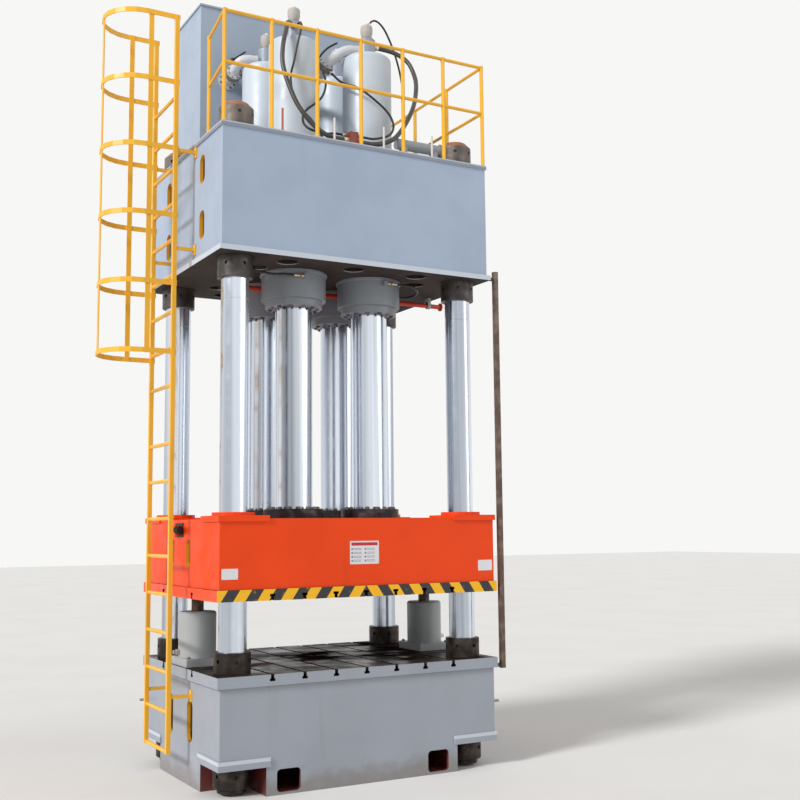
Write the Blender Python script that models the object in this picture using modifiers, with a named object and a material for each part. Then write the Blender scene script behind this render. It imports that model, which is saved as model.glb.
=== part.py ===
# Four-column hydraulic press with a deck, oil tank and caged ladder.
# Metres, +Z up. The origin is on the floor under the middle of the bed,
# +X is the right of the press as seen from the front, and +Y is its back.

import math

import bmesh
import bpy
from mathutils import Matrix, Vector

for old in list(bpy.data.objects):
    bpy.data.objects.remove(old, do_unlink=True)

# Shared fits
SEAT_GAP = 0.0003
MERGE_DISTANCE = 0.00001
OVERRUN = 0.03
ROUND_SIDES = 18
WIDE_SIDES = 24
VALVE_SIDES = 12
TUBE_SIDES = 6
RUNG_SIDES = 6
ARC_STEPS = 3

# The table's size drives the bed, the columns' places, the ladder and the rail
TABLE_WIDTH = 2.486
TABLE_DEPTH = 1.864

# Columns and their nuts
COLUMN_INSET_X = 0.203
COLUMN_INSET_Y = 0.232
COLUMN_SPAN_X = TABLE_WIDTH - 2 * COLUMN_INSET_X
COLUMN_SPAN_Y = TABLE_DEPTH - 2 * COLUMN_INSET_Y
COLUMN_RADIUS = 0.110
COLUMN_CHAMFER = 0.010
COLUMN_FOOT_Z = 0.020
COLUMN_TIP_ABOVE_NUT = 0.015
NUT_RADIUS = 0.1425
NUT_CHAMFER = 0.010
TOP_NUT_CHAMFER = 0.030
TABLE_NUT_HEIGHT = 0.160
FOOT_NUT_HEIGHT = 0.160
LOWER_NUT_HEIGHT = 0.175
TOP_NUT_HEIGHT = 0.206
TOMMY_HOLES = 6
TOMMY_RADIUS = 0.015
TOMMY_DEPTH = 0.018
TOMMY_HEIGHT_SHARE = 0.60
FOOT_NUT_TURNS_DEG = (20, 0, 40, 20)
TABLE_NUT_TURNS_DEG = (20, 40, 0, 20)
LOWER_NUT_TURNS_DEG = (40, 0, 20, 40)
TOP_NUT_TURNS_DEG = (20, 0, 40, 20)

# Bed and table
TABLE_LIP_X = 0.028
TABLE_LIP_Y = 0.022
BED_WIDTH = TABLE_WIDTH - 2 * TABLE_LIP_X
BED_DEPTH = TABLE_DEPTH - 2 * TABLE_LIP_Y
BED_HEIGHT = 0.810
BED_FLOOR = 0.020
BED_ROOF = 0.050
TABLE_THICKNESS = 0.084
NOTCH_WIDTH = 0.372
NOTCH_DEPTH = 0.414
NOTCH_HEIGHT = 0.215
CORNER_PLATE_THICKNESS = 0.070
CORNER_PLATE_LIP = 0.015
CORNER_PLATE_LAP = 0.030
HATCH_WIDTH = 0.195
HATCH_HEIGHT = 0.168
HATCH_RADIUS = 0.030
HATCH_X = 0.660
BED_SLOT_WIDTH = 0.130
BED_SLOT_LOW_Z = 0.330
BED_SLOT_HIGH_Z = 0.650
BED_SLOT_Y = 0.240
STUB_RADIUS = 0.012
STUB_LENGTH = 0.075
STUB_Z = 0.525
STUB_Y = 0.860

# T-slots of the table and of the slide plate
T_SLOTS = 7
T_SLOT_PITCH = 0.268
CROSS_SLOT_Y = 0.360
T_NECK_WIDTH = 0.028
T_HEAD_WIDTH = 0.046
T_HEAD_HEIGHT = 0.020
T_SLOT_DEPTH = 0.050

# Inner cells of the welded boxes
WALL = 0.030
RIB = 0.030
CELL_SPAN_X = 1.640
CELL_COLUMNS = 3
SIDE_CELL_SPAN_Y = 0.920
TIE_HOLE_RADIUS = 0.090
TIE_HOLE_SIDES = 8
TIE_HOLE_Y = 0.300

# Slide
SLIDE_LOW_Z = 1.444
SLIDE_PLATE_LIP_X = 0.008
SLIDE_PLATE_WIDTH = TABLE_WIDTH + 2 * SLIDE_PLATE_LIP_X
SLIDE_PLATE_INSET_Y = 0.004
SLIDE_PLATE_DEPTH = TABLE_DEPTH - 2 * SLIDE_PLATE_INSET_Y
SLIDE_PLATE_THICKNESS = 0.086
SLIDE_INSET_X = 0.013
SLIDE_WIDTH = TABLE_WIDTH - 2 * SLIDE_INSET_X
SLIDE_INSET_Y = 0.017
SLIDE_DEPTH = TABLE_DEPTH - 2 * SLIDE_INSET_Y
SLIDE_TOP_Z = 2.066
SLIDE_ROOF = 0.050
PAD_WIDTH = 0.415
PAD_DEPTH = 0.402
PAD_THICKNESS = 0.046
PAD_RISE = 0.023
PAD_LIP = 0.015
GUIDE_RADIUS = 0.168
GUIDE_HEIGHT = 0.026
GUIDE_CLEARANCE = 0.0006
SLIDE_SLOT_WIDTH = 0.098
SLIDE_SLOT_LOW_Z = 1.685
SLIDE_SLOT_HIGH_Z = 1.910
SLIDE_SLOT_Y = 0.200
SIDE_BLOCK_WIDTH = 0.050
SIDE_BLOCK_HEIGHT = 0.130
SIDE_BLOCK_REACH = 0.045
SIDE_BLOCK_Y = 0.020

# Crown
CROWN_LOW_Z = 4.134
CROWN_BASE_LIP_X = 0.006
CROWN_BASE_WIDTH = TABLE_WIDTH + 2 * CROWN_BASE_LIP_X
CROWN_BASE_INSET_Y = 0.003
CROWN_BASE_DEPTH = TABLE_DEPTH - 2 * CROWN_BASE_INSET_Y
CROWN_BASE_THICKNESS = 0.042
CROWN_INSET_X = 0.018
CROWN_WIDTH = TABLE_WIDTH - 2 * CROWN_INSET_X
CROWN_INSET_Y = 0.032
CROWN_DEPTH = TABLE_DEPTH - 2 * CROWN_INSET_Y
DECK_Z = 5.170
DECK_INSET_X = 0.005
DECK_WIDTH = TABLE_WIDTH - 2 * DECK_INSET_X
DECK_INSET_Y = 0.023
DECK_DEPTH = TABLE_DEPTH - 2 * DECK_INSET_Y
DECK_THICKNESS = 0.035
CROWN_CELL_SPAN_X = 1.600
CROWN_CELL_DEPTH = 0.240
CROWN_SIDE_CELL_WIDTH = 0.530
CROWN_SIDE_CELL_SPAN_Y = 1.080
CROWN_SLOT_WIDTH = 0.118
CROWN_SLOT_LENGTH = 0.235
CROWN_SLOT_Y = 0.430
CROWN_SLOT_LOW_Z = 4.325
CROWN_SLOT_HIGH_Z = 4.790
PROCESS_HOLE_RADIUS = 0.090
PROCESS_ROW_Y = 0.735
PROCESS_ROW_X = 0.600
PROCESS_SIDE_X = 0.750
PROCESS_SIDE_Y = 0.445
PIN_RADIUS = 0.009
PIN_HEIGHT = 0.190
PIN_INSET = 0.022
PIN_PLACE_SHARES = (-0.577, -0.201, 0.174, 0.557)

# Main cylinders, glands and plungers
CYLINDER_SPAN_X = 0.720
CYLINDER_SPAN_Y = 0.620
CYLINDER_RADIUS = 0.274
CYLINDER_LOW_Z = 3.900
COLLAR_RADIUS = 0.286
COLLAR_HEIGHT = 0.022
BARREL_RADIUS = 0.220
BARREL_TOP_Z = 6.205
BARREL_SHOULDER = 0.045
BARREL_ROOF = 0.180
GLAND_RADIUS = 0.242
GLAND_HEIGHT = 0.060
PLUNGER_RADIUS = 0.158
PLUNGER_CHAMFER = 0.012
PLUNGER_CLEARANCE = 0.002
GLAND_CLEARANCE = 0.0006
PLUNGER_TOP_Z = 4.450
FLANGE_RADIUS = 0.250
FLANGE_HEIGHT = 0.080

# Prefill valves on the cylinder tops
VALVE_NECK_RADIUS = 0.079
VALVE_NECK_HEIGHT = 0.180
VALVE_STEM_RADIUS = 0.030
VALVE_STEM_HEIGHT = 0.012
BULB_RADIUS = 0.055
BULB_HEIGHT = 0.130
BULB_CAP_RADIUS = 0.014
BULB_CAP_HEIGHT = 0.022
BULB_PROFILE_SHARES = ((0.62, 0.0), (0.86, 0.18), (1.0, 0.42), (1.0, 0.68), (0.72, 0.92), (0.30, 1.0))
PORT_REACH = 0.100
PORT_RADIUS = 0.045
PORT_HEIGHT = 0.055

# Suction pipes with their butterfly valves
PIPE_RADIUS = 0.046
PIPE_RESOLUTION = 3
PIPE_FLANGE_RADIUS = 0.052
PIPE_FLANGE_THICKNESS = 0.012
WAFER_RADIUS = 0.080
WAFER_THICKNESS = 0.048
WAFER_STEM_RADIUS = 0.012
WAFER_STEM_HEIGHT = 0.045
LEVER_HUB_RADIUS = 0.020
LEVER_HUB_HEIGHT = 0.024
LEVER_RADIUS = 0.009
LEVER_LENGTH = 0.170
TANK_FLANGE_RADIUS = 0.085
LEFT_LEVER_TURN_DEG = 90.0
LEFT_LEVER_RISE_DEG = 40.0
LEFT_DROP = 0.090
LEFT_REACH = 0.165
LEFT_ROUTE_SHARES = (
    (0.04, 0.00, 0.00),
    (0.40, 0.01, 0.00),
    (0.80, 0.10, 0.15),
    (0.97, 0.28, 0.60),
    (1.00, 0.50, 1.00),
    (1.00, 0.98, 1.20),
)
LEFT_VALVE_POINT = 4
RIGHT_LEVER_TURN_DEG = 0.0
RIGHT_LEVER_RISE_DEG = 10.0
RIGHT_DROP = 0.295
RIGHT_REACH = 0.300
RIGHT_ROUTE_SHARES = (
    (0.02, 0.00, 0.00),
    (0.20, 0.00, 0.00),
    (0.50, 0.03, 0.12),
    (0.90, 0.12, 0.52),
    (1.00, 0.22, 0.82),
    (1.00, 0.36, 1.00),
    (1.00, 0.60, 1.00),
    (1.00, 0.99, 1.00),
)
RIGHT_VALVE_POINT = 3

# Oil tank
TANK_WIDTH = 1.772
TANK_DEPTH = 0.720
TANK_FRONT_Y = 0.620
TANK_LOW_Z = 5.270
TANK_TOP_Z = 6.845
TANK_LID_LIP = 0.012
TANK_LID_THICKNESS = 0.016
SKID_WIDTH = 0.080
SKID_X = 0.620
SKID_FRONT_INSET = 0.040
SKID_BACK_INSET = 0.030

# Deck railing
RAIL_RADIUS = 0.0145
POST_RADIUS = 0.0165
RAIL_TOP_Z = 6.080
RAIL_MID_Z = 5.655
RAIL_FRONT_Y = -0.888
RAIL_SIDE_X = 1.215
FRONT_POSTS = 7
RIGHT_POSTS = 4
RIGHT_POST_PITCH = 0.592
RETURN_END_X = -1.142
RETURN_END_Y = -0.337

# Ladder and cage
LADDER_STANDOFF = 0.159
LADDER_X = -TABLE_WIDTH / 2 - LADDER_STANDOFF
LADDER_HALF_WIDTH = 0.285
LADDER_Y = 0.010
STILE_SIZE = 0.034
RUNG_RADIUS = 0.016
RUNG_PITCH = 0.300
LOWER_RUNGS = 9
LOWER_FIRST_RUNG_Z = 0.276
UPPER_RUNGS = 9
UPPER_FIRST_RUNG_Z = 3.145
LADDER_FOOT_Z = 0.262
SPLICE_Z = 2.960
LADDER_TOP_Z = 6.244
HOOPS = 6
HOOP_LOW_Z = 3.412
HOOP_PITCH = 0.564
HOOP_HEIGHT = 0.040
HOOP_THICKNESS = 0.010
HOOP_STRAIGHT = 0.253
HOOP_LAP = 0.026
HOOP_ARC_STEPS = 10
CAGE_STRIP_WIDTH = 0.040
CAGE_STRIP_THICKNESS = 0.008
CAGE_STRIP_LAP = 0.004
CAGE_SIDE_STRIP_REACH = 0.214
CROWN_BRACKET_ZS = (4.265, 5.090)
BED_BRACKET_Z = 0.690
BRACKET_SIZE = 0.026
BRACKET_PLATE_WIDTH = 0.050
BRACKET_PLATE_HEIGHT = 0.090
BRACKET_PLATE_THICKNESS = 0.010

# Buffer cylinders on the table
BUFFER_X = 1.075
BUFFER_RADIUS = 0.153
BUFFER_PAD_WIDTH = 0.310
BUFFER_PAD_DEPTH = 0.380
BUFFER_PAD_HEIGHT = 0.066
BUFFER_BODY_HEIGHT = 0.363
BUFFER_CHAMFER = 0.012
BUFFER_ROD_RADIUS = 0.050
BUFFER_ROD_CLEARANCE = 0.001
BUFFER_STROKE = 0.080
BUFFER_ROD_INSERT = 0.080
BUFFER_BORE_SPARE = 0.030
BUFFER_PORT_RADIUS = 0.020
BUFFER_PORT_REACH = 0.050
BUFFER_PORT_RISE = 0.111

# Position rail at the right front corner
GAUGE_STANDOFF = 0.043
GAUGE_INSET_Y = 0.002
GAUGE_X = TABLE_WIDTH / 2 + GAUGE_STANDOFF
GAUGE_Y = GAUGE_INSET_Y - TABLE_DEPTH / 2
GAUGE_LEG = 0.040
GAUGE_THICKNESS = 0.006
GAUGE_LOW_Z = 0.800
GAUGE_HIGH_Z = 4.215
GAUGE_ARM_HEIGHT = 0.030
GAUGE_ARM_DEPTH = 0.020

# Pressure main under the crown, deck accumulator and hose block
MAIN_RADIUS = 0.021
MAIN_Z = 4.062
MAIN_LEFT_X = -0.780
MAIN_RIGHT_X = 1.300
MAIN_BEND = 0.045
MAIN_BEND_CUT_SHARE = 0.30
MAIN_FLANGE_RADIUS = 0.038
MAIN_FLANGE_THICKNESS = 0.012
MAIN_HANGER_X = 1.160
MAIN_HANGER_WIDTH = 0.030
DECK_PIPE_RADIUS = 0.048
DECK_PIPE_FLANGE_RADIUS = 0.062
DECK_PIPE_FLANGE_THICKNESS = 0.024
DECK_PIPE_LEFT_X = 0.440
DECK_PIPE_RIGHT_X = 0.886
DECK_PIPE_Y = -0.700
DECK_PIPE_LIFT = 0.092
SADDLE_WIDTH = 0.040
SADDLE_DEPTH = 0.080
SADDLE_INSET = 0.070
BLOCK_X = -0.055
BLOCK_Y = -0.830
BLOCK_WIDTH = 0.075
BLOCK_DEPTH = 0.080
BLOCK_HEIGHT = 0.110

# Hoses and their fittings
FITTING_OVERSIZE = 0.003
FITTING_DEPTH = 0.050
CYLINDER_FITTING_DEPTH = 0.112
HOSE_SPACING_DIAMETERS = 2.9
HOSE_RESOLUTION = 2
THICK_HOSE = 0.020
MIDDLE_HOSE = 0.010
THIN_HOSE = 0.009
CYLINDER_LUG_X = 0.375
CYLINDER_LUG_SIZE = 0.040
CROWN_LUG_X = -0.900
CROWN_LUG_SIZE = 0.040

# Each route is a list of points in metres, from the fitting it leaves to the one it meets.
HOSE_ROUTES = {
    "hose_left_thick": (
        THICK_HOSE,
        ((-0.422, -0.393, 6.335), (-0.440, -0.417, 6.335), (-0.498, -0.494, 6.295),
         (-0.532, -0.535, 6.199), (-0.572, -0.565, 6.050), (-0.588, -0.600, 5.860),
         (-0.548, -0.660, 5.640), (-0.485, -0.720, 5.458), (-0.377, -0.795, 5.290),
         (-0.250, -0.830, 5.212), (-0.138, -0.830, 5.212))),
    "hose_left_thin": (
        THIN_HOSE,
        ((-0.375, -0.424, 6.335), (-0.375, -0.460, 6.335), (-0.383, -0.515, 6.305),
         (-0.402, -0.555, 6.230), (-0.435, -0.565, 6.100), (-0.469, -0.565, 5.938),
         (-0.501, -0.565, 5.757), (-0.460, -0.600, 5.550), (-0.350, -0.660, 5.400),
         (-0.275, -0.700, 5.260), (-0.275, -0.700, 5.210))),
    "hose_right_thick": (
        THICK_HOSE,
        ((0.475, -0.310, 6.335), (0.550, -0.310, 6.335), (0.655, -0.335, 6.310),
         (0.740, -0.400, 6.220), (0.766, -0.480, 6.050), (0.733, -0.550, 5.887),
         (0.660, -0.620, 5.700), (0.536, -0.690, 5.500), (0.395, -0.760, 5.335),
         (0.244, -0.810, 5.245), (0.120, -0.830, 5.212), (0.028, -0.830, 5.212))),
    "hose_right_thin": (
        THIN_HOSE,
        ((0.392, -0.307, 6.553), (0.410, -0.305, 6.577), (0.445, -0.298, 6.600),
         (0.495, -0.285, 6.600), (0.560, -0.262, 6.570), (0.630, -0.230, 6.505),
         (0.695, -0.205, 6.410), (0.745, -0.200, 6.280), (0.779, -0.200, 6.137),
         (0.805, -0.200, 5.948), (0.800, -0.200, 5.656), (0.770, -0.200, 5.380),
         (0.760, -0.200, 5.260), (0.760, -0.200, 5.210))),
    "hose_middle": (
        MIDDLE_HOSE,
        ((0.035, -0.259, 6.027), (0.0494, -0.2783, 6.0016), (0.060, -0.360, 5.930),
         (0.080, -0.450, 5.870), (0.150, -0.550, 5.815), (0.275, -0.620, 5.703), (0.383, -0.660, 5.591),
         (0.414, -0.700, 5.474), (0.366, -0.740, 5.375), (0.270, -0.785, 5.312),
         (0.130, -0.830, 5.260), (0.028, -0.830, 5.260))),
    "hose_middle_left": (
        MIDDLE_HOSE,
        ((-0.055, -0.274, 6.042), (-0.0694, -0.2983, 6.0213), (-0.104, -0.420, 5.846),
         (-0.182, -0.520, 5.691), (-0.275, -0.570, 5.590), (-0.357, -0.575, 5.518),
         (-0.404, -0.600, 5.446), (-0.425, -0.660, 5.358), (-0.400, -0.710, 5.301),
         (-0.336, -0.740, 5.275), (-0.260, -0.765, 5.263), (-0.200, -0.805, 5.262),
         (-0.138, -0.805, 5.262))),
    "hose_cylinder_left": (
        MIDDLE_HOSE,
        ((-0.487, -0.600, 4.070), (-0.560, -0.600, 4.070), (-0.680, -0.595, 4.060),
         (-0.800, -0.590, 4.070), (-0.864, -0.590, 4.070))),
    "hose_cylinder_right": (
        MIDDLE_HOSE,
        ((0.487, -0.600, 4.085), (0.560, -0.600, 4.085), (0.660, -0.580, 4.082),
         (0.740, -0.515, 4.070), (0.780, -0.430, 4.055), (0.765, -0.350, 4.045),
         (0.715, -0.310, 4.040), (0.665, -0.310, 4.040))),
}

# Worked-out places
TABLE_LOW_Z = BED_HEIGHT + SEAT_GAP
TABLE_TOP_Z = BED_HEIGHT + TABLE_THICKNESS
CORNER_PLATE_TOP_Z = NOTCH_HEIGHT + CORNER_PLATE_THICKNESS
NUT_BORE = COLUMN_RADIUS + SEAT_GAP
TOP_NUT_TOP_Z = DECK_Z + TOP_NUT_HEIGHT
COLUMN_TOP_Z = TOP_NUT_TOP_Z + COLUMN_TIP_ABOVE_NUT
SLIDE_FRAME_LOW_Z = SLIDE_LOW_Z + SLIDE_PLATE_THICKNESS + SEAT_GAP
PAD_TOP_Z = SLIDE_TOP_Z + PAD_RISE
GUIDE_TOP_Z = PAD_TOP_Z + GUIDE_HEIGHT
CROWN_BASE_TOP_Z = CROWN_LOW_Z + CROWN_BASE_THICKNESS
DECK_LOW_Z = DECK_Z - DECK_THICKNESS
CYLINDER_BORE = PLUNGER_RADIUS + PLUNGER_CLEARANCE
GLAND_LOW_Z = CYLINDER_LOW_Z - GLAND_HEIGHT
PORT_Z = BARREL_TOP_Z + PORT_HEIGHT
BUFFER_PAD_TOP_Z = TABLE_TOP_Z + BUFFER_PAD_HEIGHT
BUFFER_TOP_Z = BUFFER_PAD_TOP_Z + BUFFER_BODY_HEIGHT
LADDER_FRONT_Y = LADDER_Y - LADDER_HALF_WIDTH
LADDER_BACK_Y = LADDER_Y + LADDER_HALF_WIDTH

CORNERS = (
    ("front_left", -1, -1),
    ("front_right", 1, -1),
    ("back_left", -1, 1),
    ("back_right", 1, 1),
)
LEFT_VALVE_CORNER = "back_left"
RIGHT_VALVE_CORNER = "front_right"


# Scene helpers

def new_collection(name):
    collection = bpy.data.collections.new(name)
    bpy.context.scene.collection.children.link(collection)
    return collection


PARTS = new_collection("hydraulic_press")
CUTTERS = new_collection("cutters")


def material(name, colour, roughness, metallic):
    made = bpy.data.materials.new(name)
    made.use_nodes = True
    shader = made.node_tree.nodes["Principled BSDF"]
    shader.inputs["Base Color"].default_value = (*colour, 1.0)
    shader.inputs["Roughness"].default_value = roughness
    shader.inputs["Metallic"].default_value = metallic
    return made


GREY_PAINT = material("grey_paint", (0.38, 0.43, 0.50), 0.45, 0.0)
ORANGE_PAINT = material("orange_paint", (0.80, 0.10, 0.03), 0.40, 0.0)
YELLOW_PAINT = material("yellow_paint", (0.85, 0.45, 0.06), 0.45, 0.0)
RED_PAINT = material("red_paint", (0.55, 0.04, 0.02), 0.45, 0.0)
MACHINED_STEEL = material("machined_steel", (0.25, 0.22, 0.20), 0.35, 0.9)
BLACKENED_STEEL = material("blackened_steel", (0.10, 0.10, 0.11), 0.45, 0.8)
CHROME = material("chrome", (0.85, 0.87, 0.90), 0.08, 1.0)
HOSE_RUBBER = material("hose_rubber", (0.03, 0.03, 0.03), 0.60, 0.0)


def add_part(name, mesh, paint):
    part = bpy.data.objects.new(name, mesh)
    PARTS.objects.link(part)
    part.data.materials.clear()
    part.data.materials.append(paint)
    part.data.shade_smooth()
    part.data.set_sharp_from_angle(angle=math.radians(30))
    return part


def add_cutter(name, mesh):
    cutter = bpy.data.objects.new(name, mesh)
    CUTTERS.objects.link(cutter)
    cutter.hide_render = True
    cutter.display_type = "WIRE"
    return cutter


def boolean(part, tool, operation):
    modifier = part.modifiers.new(operation.lower(), "BOOLEAN")
    modifier.object = tool
    modifier.operation = operation
    modifier.solver = "EXACT"


def cut(part, name, mesh):
    boolean(part, add_cutter(part.name + "_" + name, mesh), "DIFFERENCE")


def fuse(part, name, mesh):
    boolean(part, add_cutter(part.name + "_" + name, mesh), "UNION")


# Mesh helpers

def finish_mesh(shape):
    mesh = bpy.data.meshes.new("mesh")
    shape.to_mesh(mesh)
    shape.free()
    return mesh


def face_outward(shape):
    bmesh.ops.recalc_face_normals(shape, faces=shape.faces)
    if shape.calc_volume(signed=True) < 0:
        bmesh.ops.reverse_faces(shape, faces=shape.faces)


def put_box(shape, corner, opposite):
    size = [abs(b - a) for a, b in zip(corner, opposite)]
    middle = (Vector(corner) + Vector(opposite)) / 2
    place = Matrix.Translation(middle) @ Matrix.Diagonal((*size, 1.0))
    bmesh.ops.create_cube(shape, size=1.0, matrix=place)


def boxes(*corner_pairs):
    shape = bmesh.new()
    for corner, opposite in corner_pairs:
        put_box(shape, corner, opposite)
    return finish_mesh(shape)


def put_rod(shape, start, end, radius, sides):
    start, end = Vector(start), Vector(end)
    run = end - start
    turn = run.to_track_quat("Z", "X").to_matrix().to_4x4()
    flats = Matrix.Rotation(math.pi / sides - math.pi / 2, 4, "Z")
    place = Matrix.Translation((start + end) / 2) @ turn @ flats
    bmesh.ops.create_cone(
        shape, cap_ends=True, segments=sides, radius1=radius, radius2=radius,
        depth=run.length, matrix=place)


def rods(sides, radius, *ends):
    shape = bmesh.new()
    for start, end in ends:
        put_rod(shape, start, end, radius, sides)
    return finish_mesh(shape)


def upright_rods(sides, radius, places, low_z, high_z):
    return rods(sides, radius, *(((x, y, low_z), (x, y, high_z)) for x, y in places))


def prism(outline, thickness, place):
    shape = bmesh.new()
    face = shape.faces.new([shape.verts.new((x, y, -thickness / 2)) for x, y in outline])
    swept = bmesh.ops.extrude_face_region(shape, geom=[face])
    moved = [item for item in swept["geom"] if isinstance(item, bmesh.types.BMVert)]
    bmesh.ops.translate(shape, verts=moved, vec=(0, 0, thickness))
    shape.transform(place)
    face_outward(shape)
    return finish_mesh(shape)


def rounded_outline(width, height, radius, steps):
    outline = []
    for corner, (side_x, side_y) in enumerate(((1, 1), (-1, 1), (-1, -1), (1, -1))):
        centre_x = side_x * (width / 2 - radius)
        centre_y = side_y * (height / 2 - radius)
        for step in range(steps + 1):
            angle = math.radians(90) * (corner + step / steps)
            outline.append((centre_x + radius * math.cos(angle), centre_y + radius * math.sin(angle)))
    return outline


def slot_through_side(width, low_z, high_z, y, reach, side_x, wall_x):
    # The slot's outline has small flats at its ends, so that no two of its points meet.
    flat = width / (2 * ARC_STEPS)
    outline = rounded_outline(width, high_z - low_z, (width - flat) / 2, ARC_STEPS)
    turn = Matrix(((0, 0, 1, 0), (1, 0, 0, 0), (0, 1, 0, 0), (0, 0, 0, 1)))
    place = Matrix.Translation((side_x * wall_x, y, (low_z + high_z) / 2)) @ turn
    return prism(outline, reach, place)


def turned(name, profile, sides, paint, x=0.0, y=0.0, closed=False):
    count = len(profile)
    edges = [(index, index + 1) for index in range(count - 1)]
    if closed:
        edges.append((count - 1, 0))
    mesh = bpy.data.meshes.new(name)
    mesh.from_pydata([(radius, 0, z) for radius, z in profile], edges, [])
    part = add_part(name, mesh, paint)
    part.location = (x, y, 0)
    part.rotation_euler = (0, 0, math.pi / sides)
    screw = part.modifiers.new("turn", "SCREW")
    screw.angle = math.radians(360)
    screw.steps = sides
    screw.render_steps = sides
    screw.use_merge_vertices = True
    screw.merge_threshold = MERGE_DISTANCE
    screw.use_smooth_shade = True
    return part


def smooth_route(points, spacing):
    # A Catmull-Rom curve through the points, read at even steps. Its first and last
    # stretches are straight, so that its ends meet their fittings squarely.
    knots = [Vector(point) for point in points]
    route = knots[:2]
    for before, start, end, after in zip(knots, knots[1:], knots[2:], knots[3:]):
        steps = max(1, round((end - start).length / spacing))
        for step in range(1, steps + 1):
            t = step / steps
            point = 2 * start + (end - before) * t
            point += (2 * before - 5 * start + 4 * end - after) * t * t
            point += (3 * start - 3 * end + after - before) * t * t * t
            route.append(point / 2)
    return route + knots[-1:]


def tube_curve(name, route, radius, resolution):
    curve = bpy.data.curves.new(name, "CURVE")
    curve.dimensions = "3D"
    curve.bevel_depth = radius
    curve.bevel_resolution = resolution
    curve.use_fill_caps = True
    spline = curve.splines.new("POLY")
    spline.points.add(len(route) - 1)
    for point, place in zip(spline.points, route):
        point.co = (*place, 1.0)
    return curve


def tube_mesh(route, radius, resolution):
    # A bent pipe as a closed mesh, so that it can be fused.
    curve = tube_curve("bent_pipe", route, radius, resolution)
    carrier = bpy.data.objects.new("bent_pipe", curve)
    CUTTERS.objects.link(carrier)
    seen = carrier.evaluated_get(bpy.context.evaluated_depsgraph_get())
    mesh = bpy.data.meshes.new_from_object(seen)
    bpy.data.objects.remove(carrier, do_unlink=True)
    shape = bmesh.new()
    shape.from_mesh(mesh)
    bmesh.ops.remove_doubles(shape, verts=shape.verts, dist=MERGE_DISTANCE)
    face_outward(shape)
    return finish_mesh(shape)


def move_origin(part, point):
    part.data.transform(Matrix.Translation(-point))
    part.location = point


def hose_end(name, end):
    # The end of a hose: 0 is where it starts and -1 where it arrives.
    return Vector(HOSE_ROUTES[name][1][end])


def fuse_fitting(part, name, end, depth=FITTING_DEPTH):
    # A fitting in line with a hose's end, from its end face back into what carries it.
    tip = hose_end(name, end)
    inner_point = 1 if end == 0 else -2
    back = (tip - hose_end(name, inner_point)).normalized()
    radius = HOSE_ROUTES[name][0] + FITTING_OVERSIZE
    fuse(part, "fitting", rods(TUBE_SIDES, radius, (tip + back * depth, tip + back * SEAT_GAP)))


# Frame

def column_places():
    half_x, half_y = COLUMN_SPAN_X / 2, COLUMN_SPAN_Y / 2
    return [(side_x * half_x, side_y * half_y) for _, side_x, side_y in CORNERS]


def cylinder_places():
    half_x, half_y = CYLINDER_SPAN_X / 2, CYLINDER_SPAN_Y / 2
    return [(side_x * half_x, side_y * half_y) for _, side_x, side_y in CORNERS]


def column_bores(radius, low_z, high_z):
    return upright_rods(ROUND_SIDES, radius, column_places(), low_z, high_z)


def cell_boxes(inner_width, inner_depth, low_z, high_z):
    # Middle cells in two rows, and one cell behind each side wall.
    pitch = CELL_SPAN_X / CELL_COLUMNS
    cells = []
    for column in range(CELL_COLUMNS):
        left = column * pitch - CELL_SPAN_X / 2 + RIB / 2
        right = left + pitch - RIB
        cells.append(((left, RIB / 2, low_z), (right, inner_depth / 2, high_z)))
        cells.append(((left, -inner_depth / 2, low_z), (right, -RIB / 2, high_z)))
    inner_x = CELL_SPAN_X / 2 + RIB / 2
    half_y = SIDE_CELL_SPAN_Y / 2
    cells.append(((-inner_width / 2, -half_y, low_z), (-inner_x, half_y, high_z)))
    cells.append(((inner_x, -half_y, low_z), (inner_width / 2, half_y, high_z)))
    return boxes(*cells)


def tie_holes(width, z):
    # Round holes that join the cells through their ribs.
    reach = width / 2 - WALL - RIB
    ends = [((-reach, side * TIE_HOLE_Y, z), (reach, side * TIE_HOLE_Y, z)) for side in (-1, 1)]
    return rods(TIE_HOLE_SIDES, TIE_HOLE_RADIUS, *ends)


def corner_notches():
    pairs = []
    for _, side_x, side_y in CORNERS:
        inner_x = side_x * (BED_WIDTH / 2 - NOTCH_WIDTH)
        inner_y = side_y * (BED_DEPTH / 2 - NOTCH_DEPTH)
        outer_x = side_x * (BED_WIDTH / 2 + CORNER_PLATE_LIP + OVERRUN)
        outer_y = side_y * (BED_DEPTH / 2 + CORNER_PLATE_LIP + OVERRUN)
        pairs.append(((inner_x, inner_y, -OVERRUN), (outer_x, outer_y, NOTCH_HEIGHT)))
    return boxes(*pairs)


def corner_plates():
    pairs = []
    for _, side_x, side_y in CORNERS:
        inner_x = side_x * (BED_WIDTH / 2 - NOTCH_WIDTH - CORNER_PLATE_LAP)
        inner_y = side_y * (BED_DEPTH / 2 - NOTCH_DEPTH - CORNER_PLATE_LAP)
        outer_x = side_x * (BED_WIDTH / 2 + CORNER_PLATE_LIP)
        outer_y = side_y * (BED_DEPTH / 2 + CORNER_PLATE_LIP)
        pairs.append(((inner_x, inner_y, NOTCH_HEIGHT), (outer_x, outer_y, CORNER_PLATE_TOP_Z)))
    return boxes(*pairs)


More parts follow.
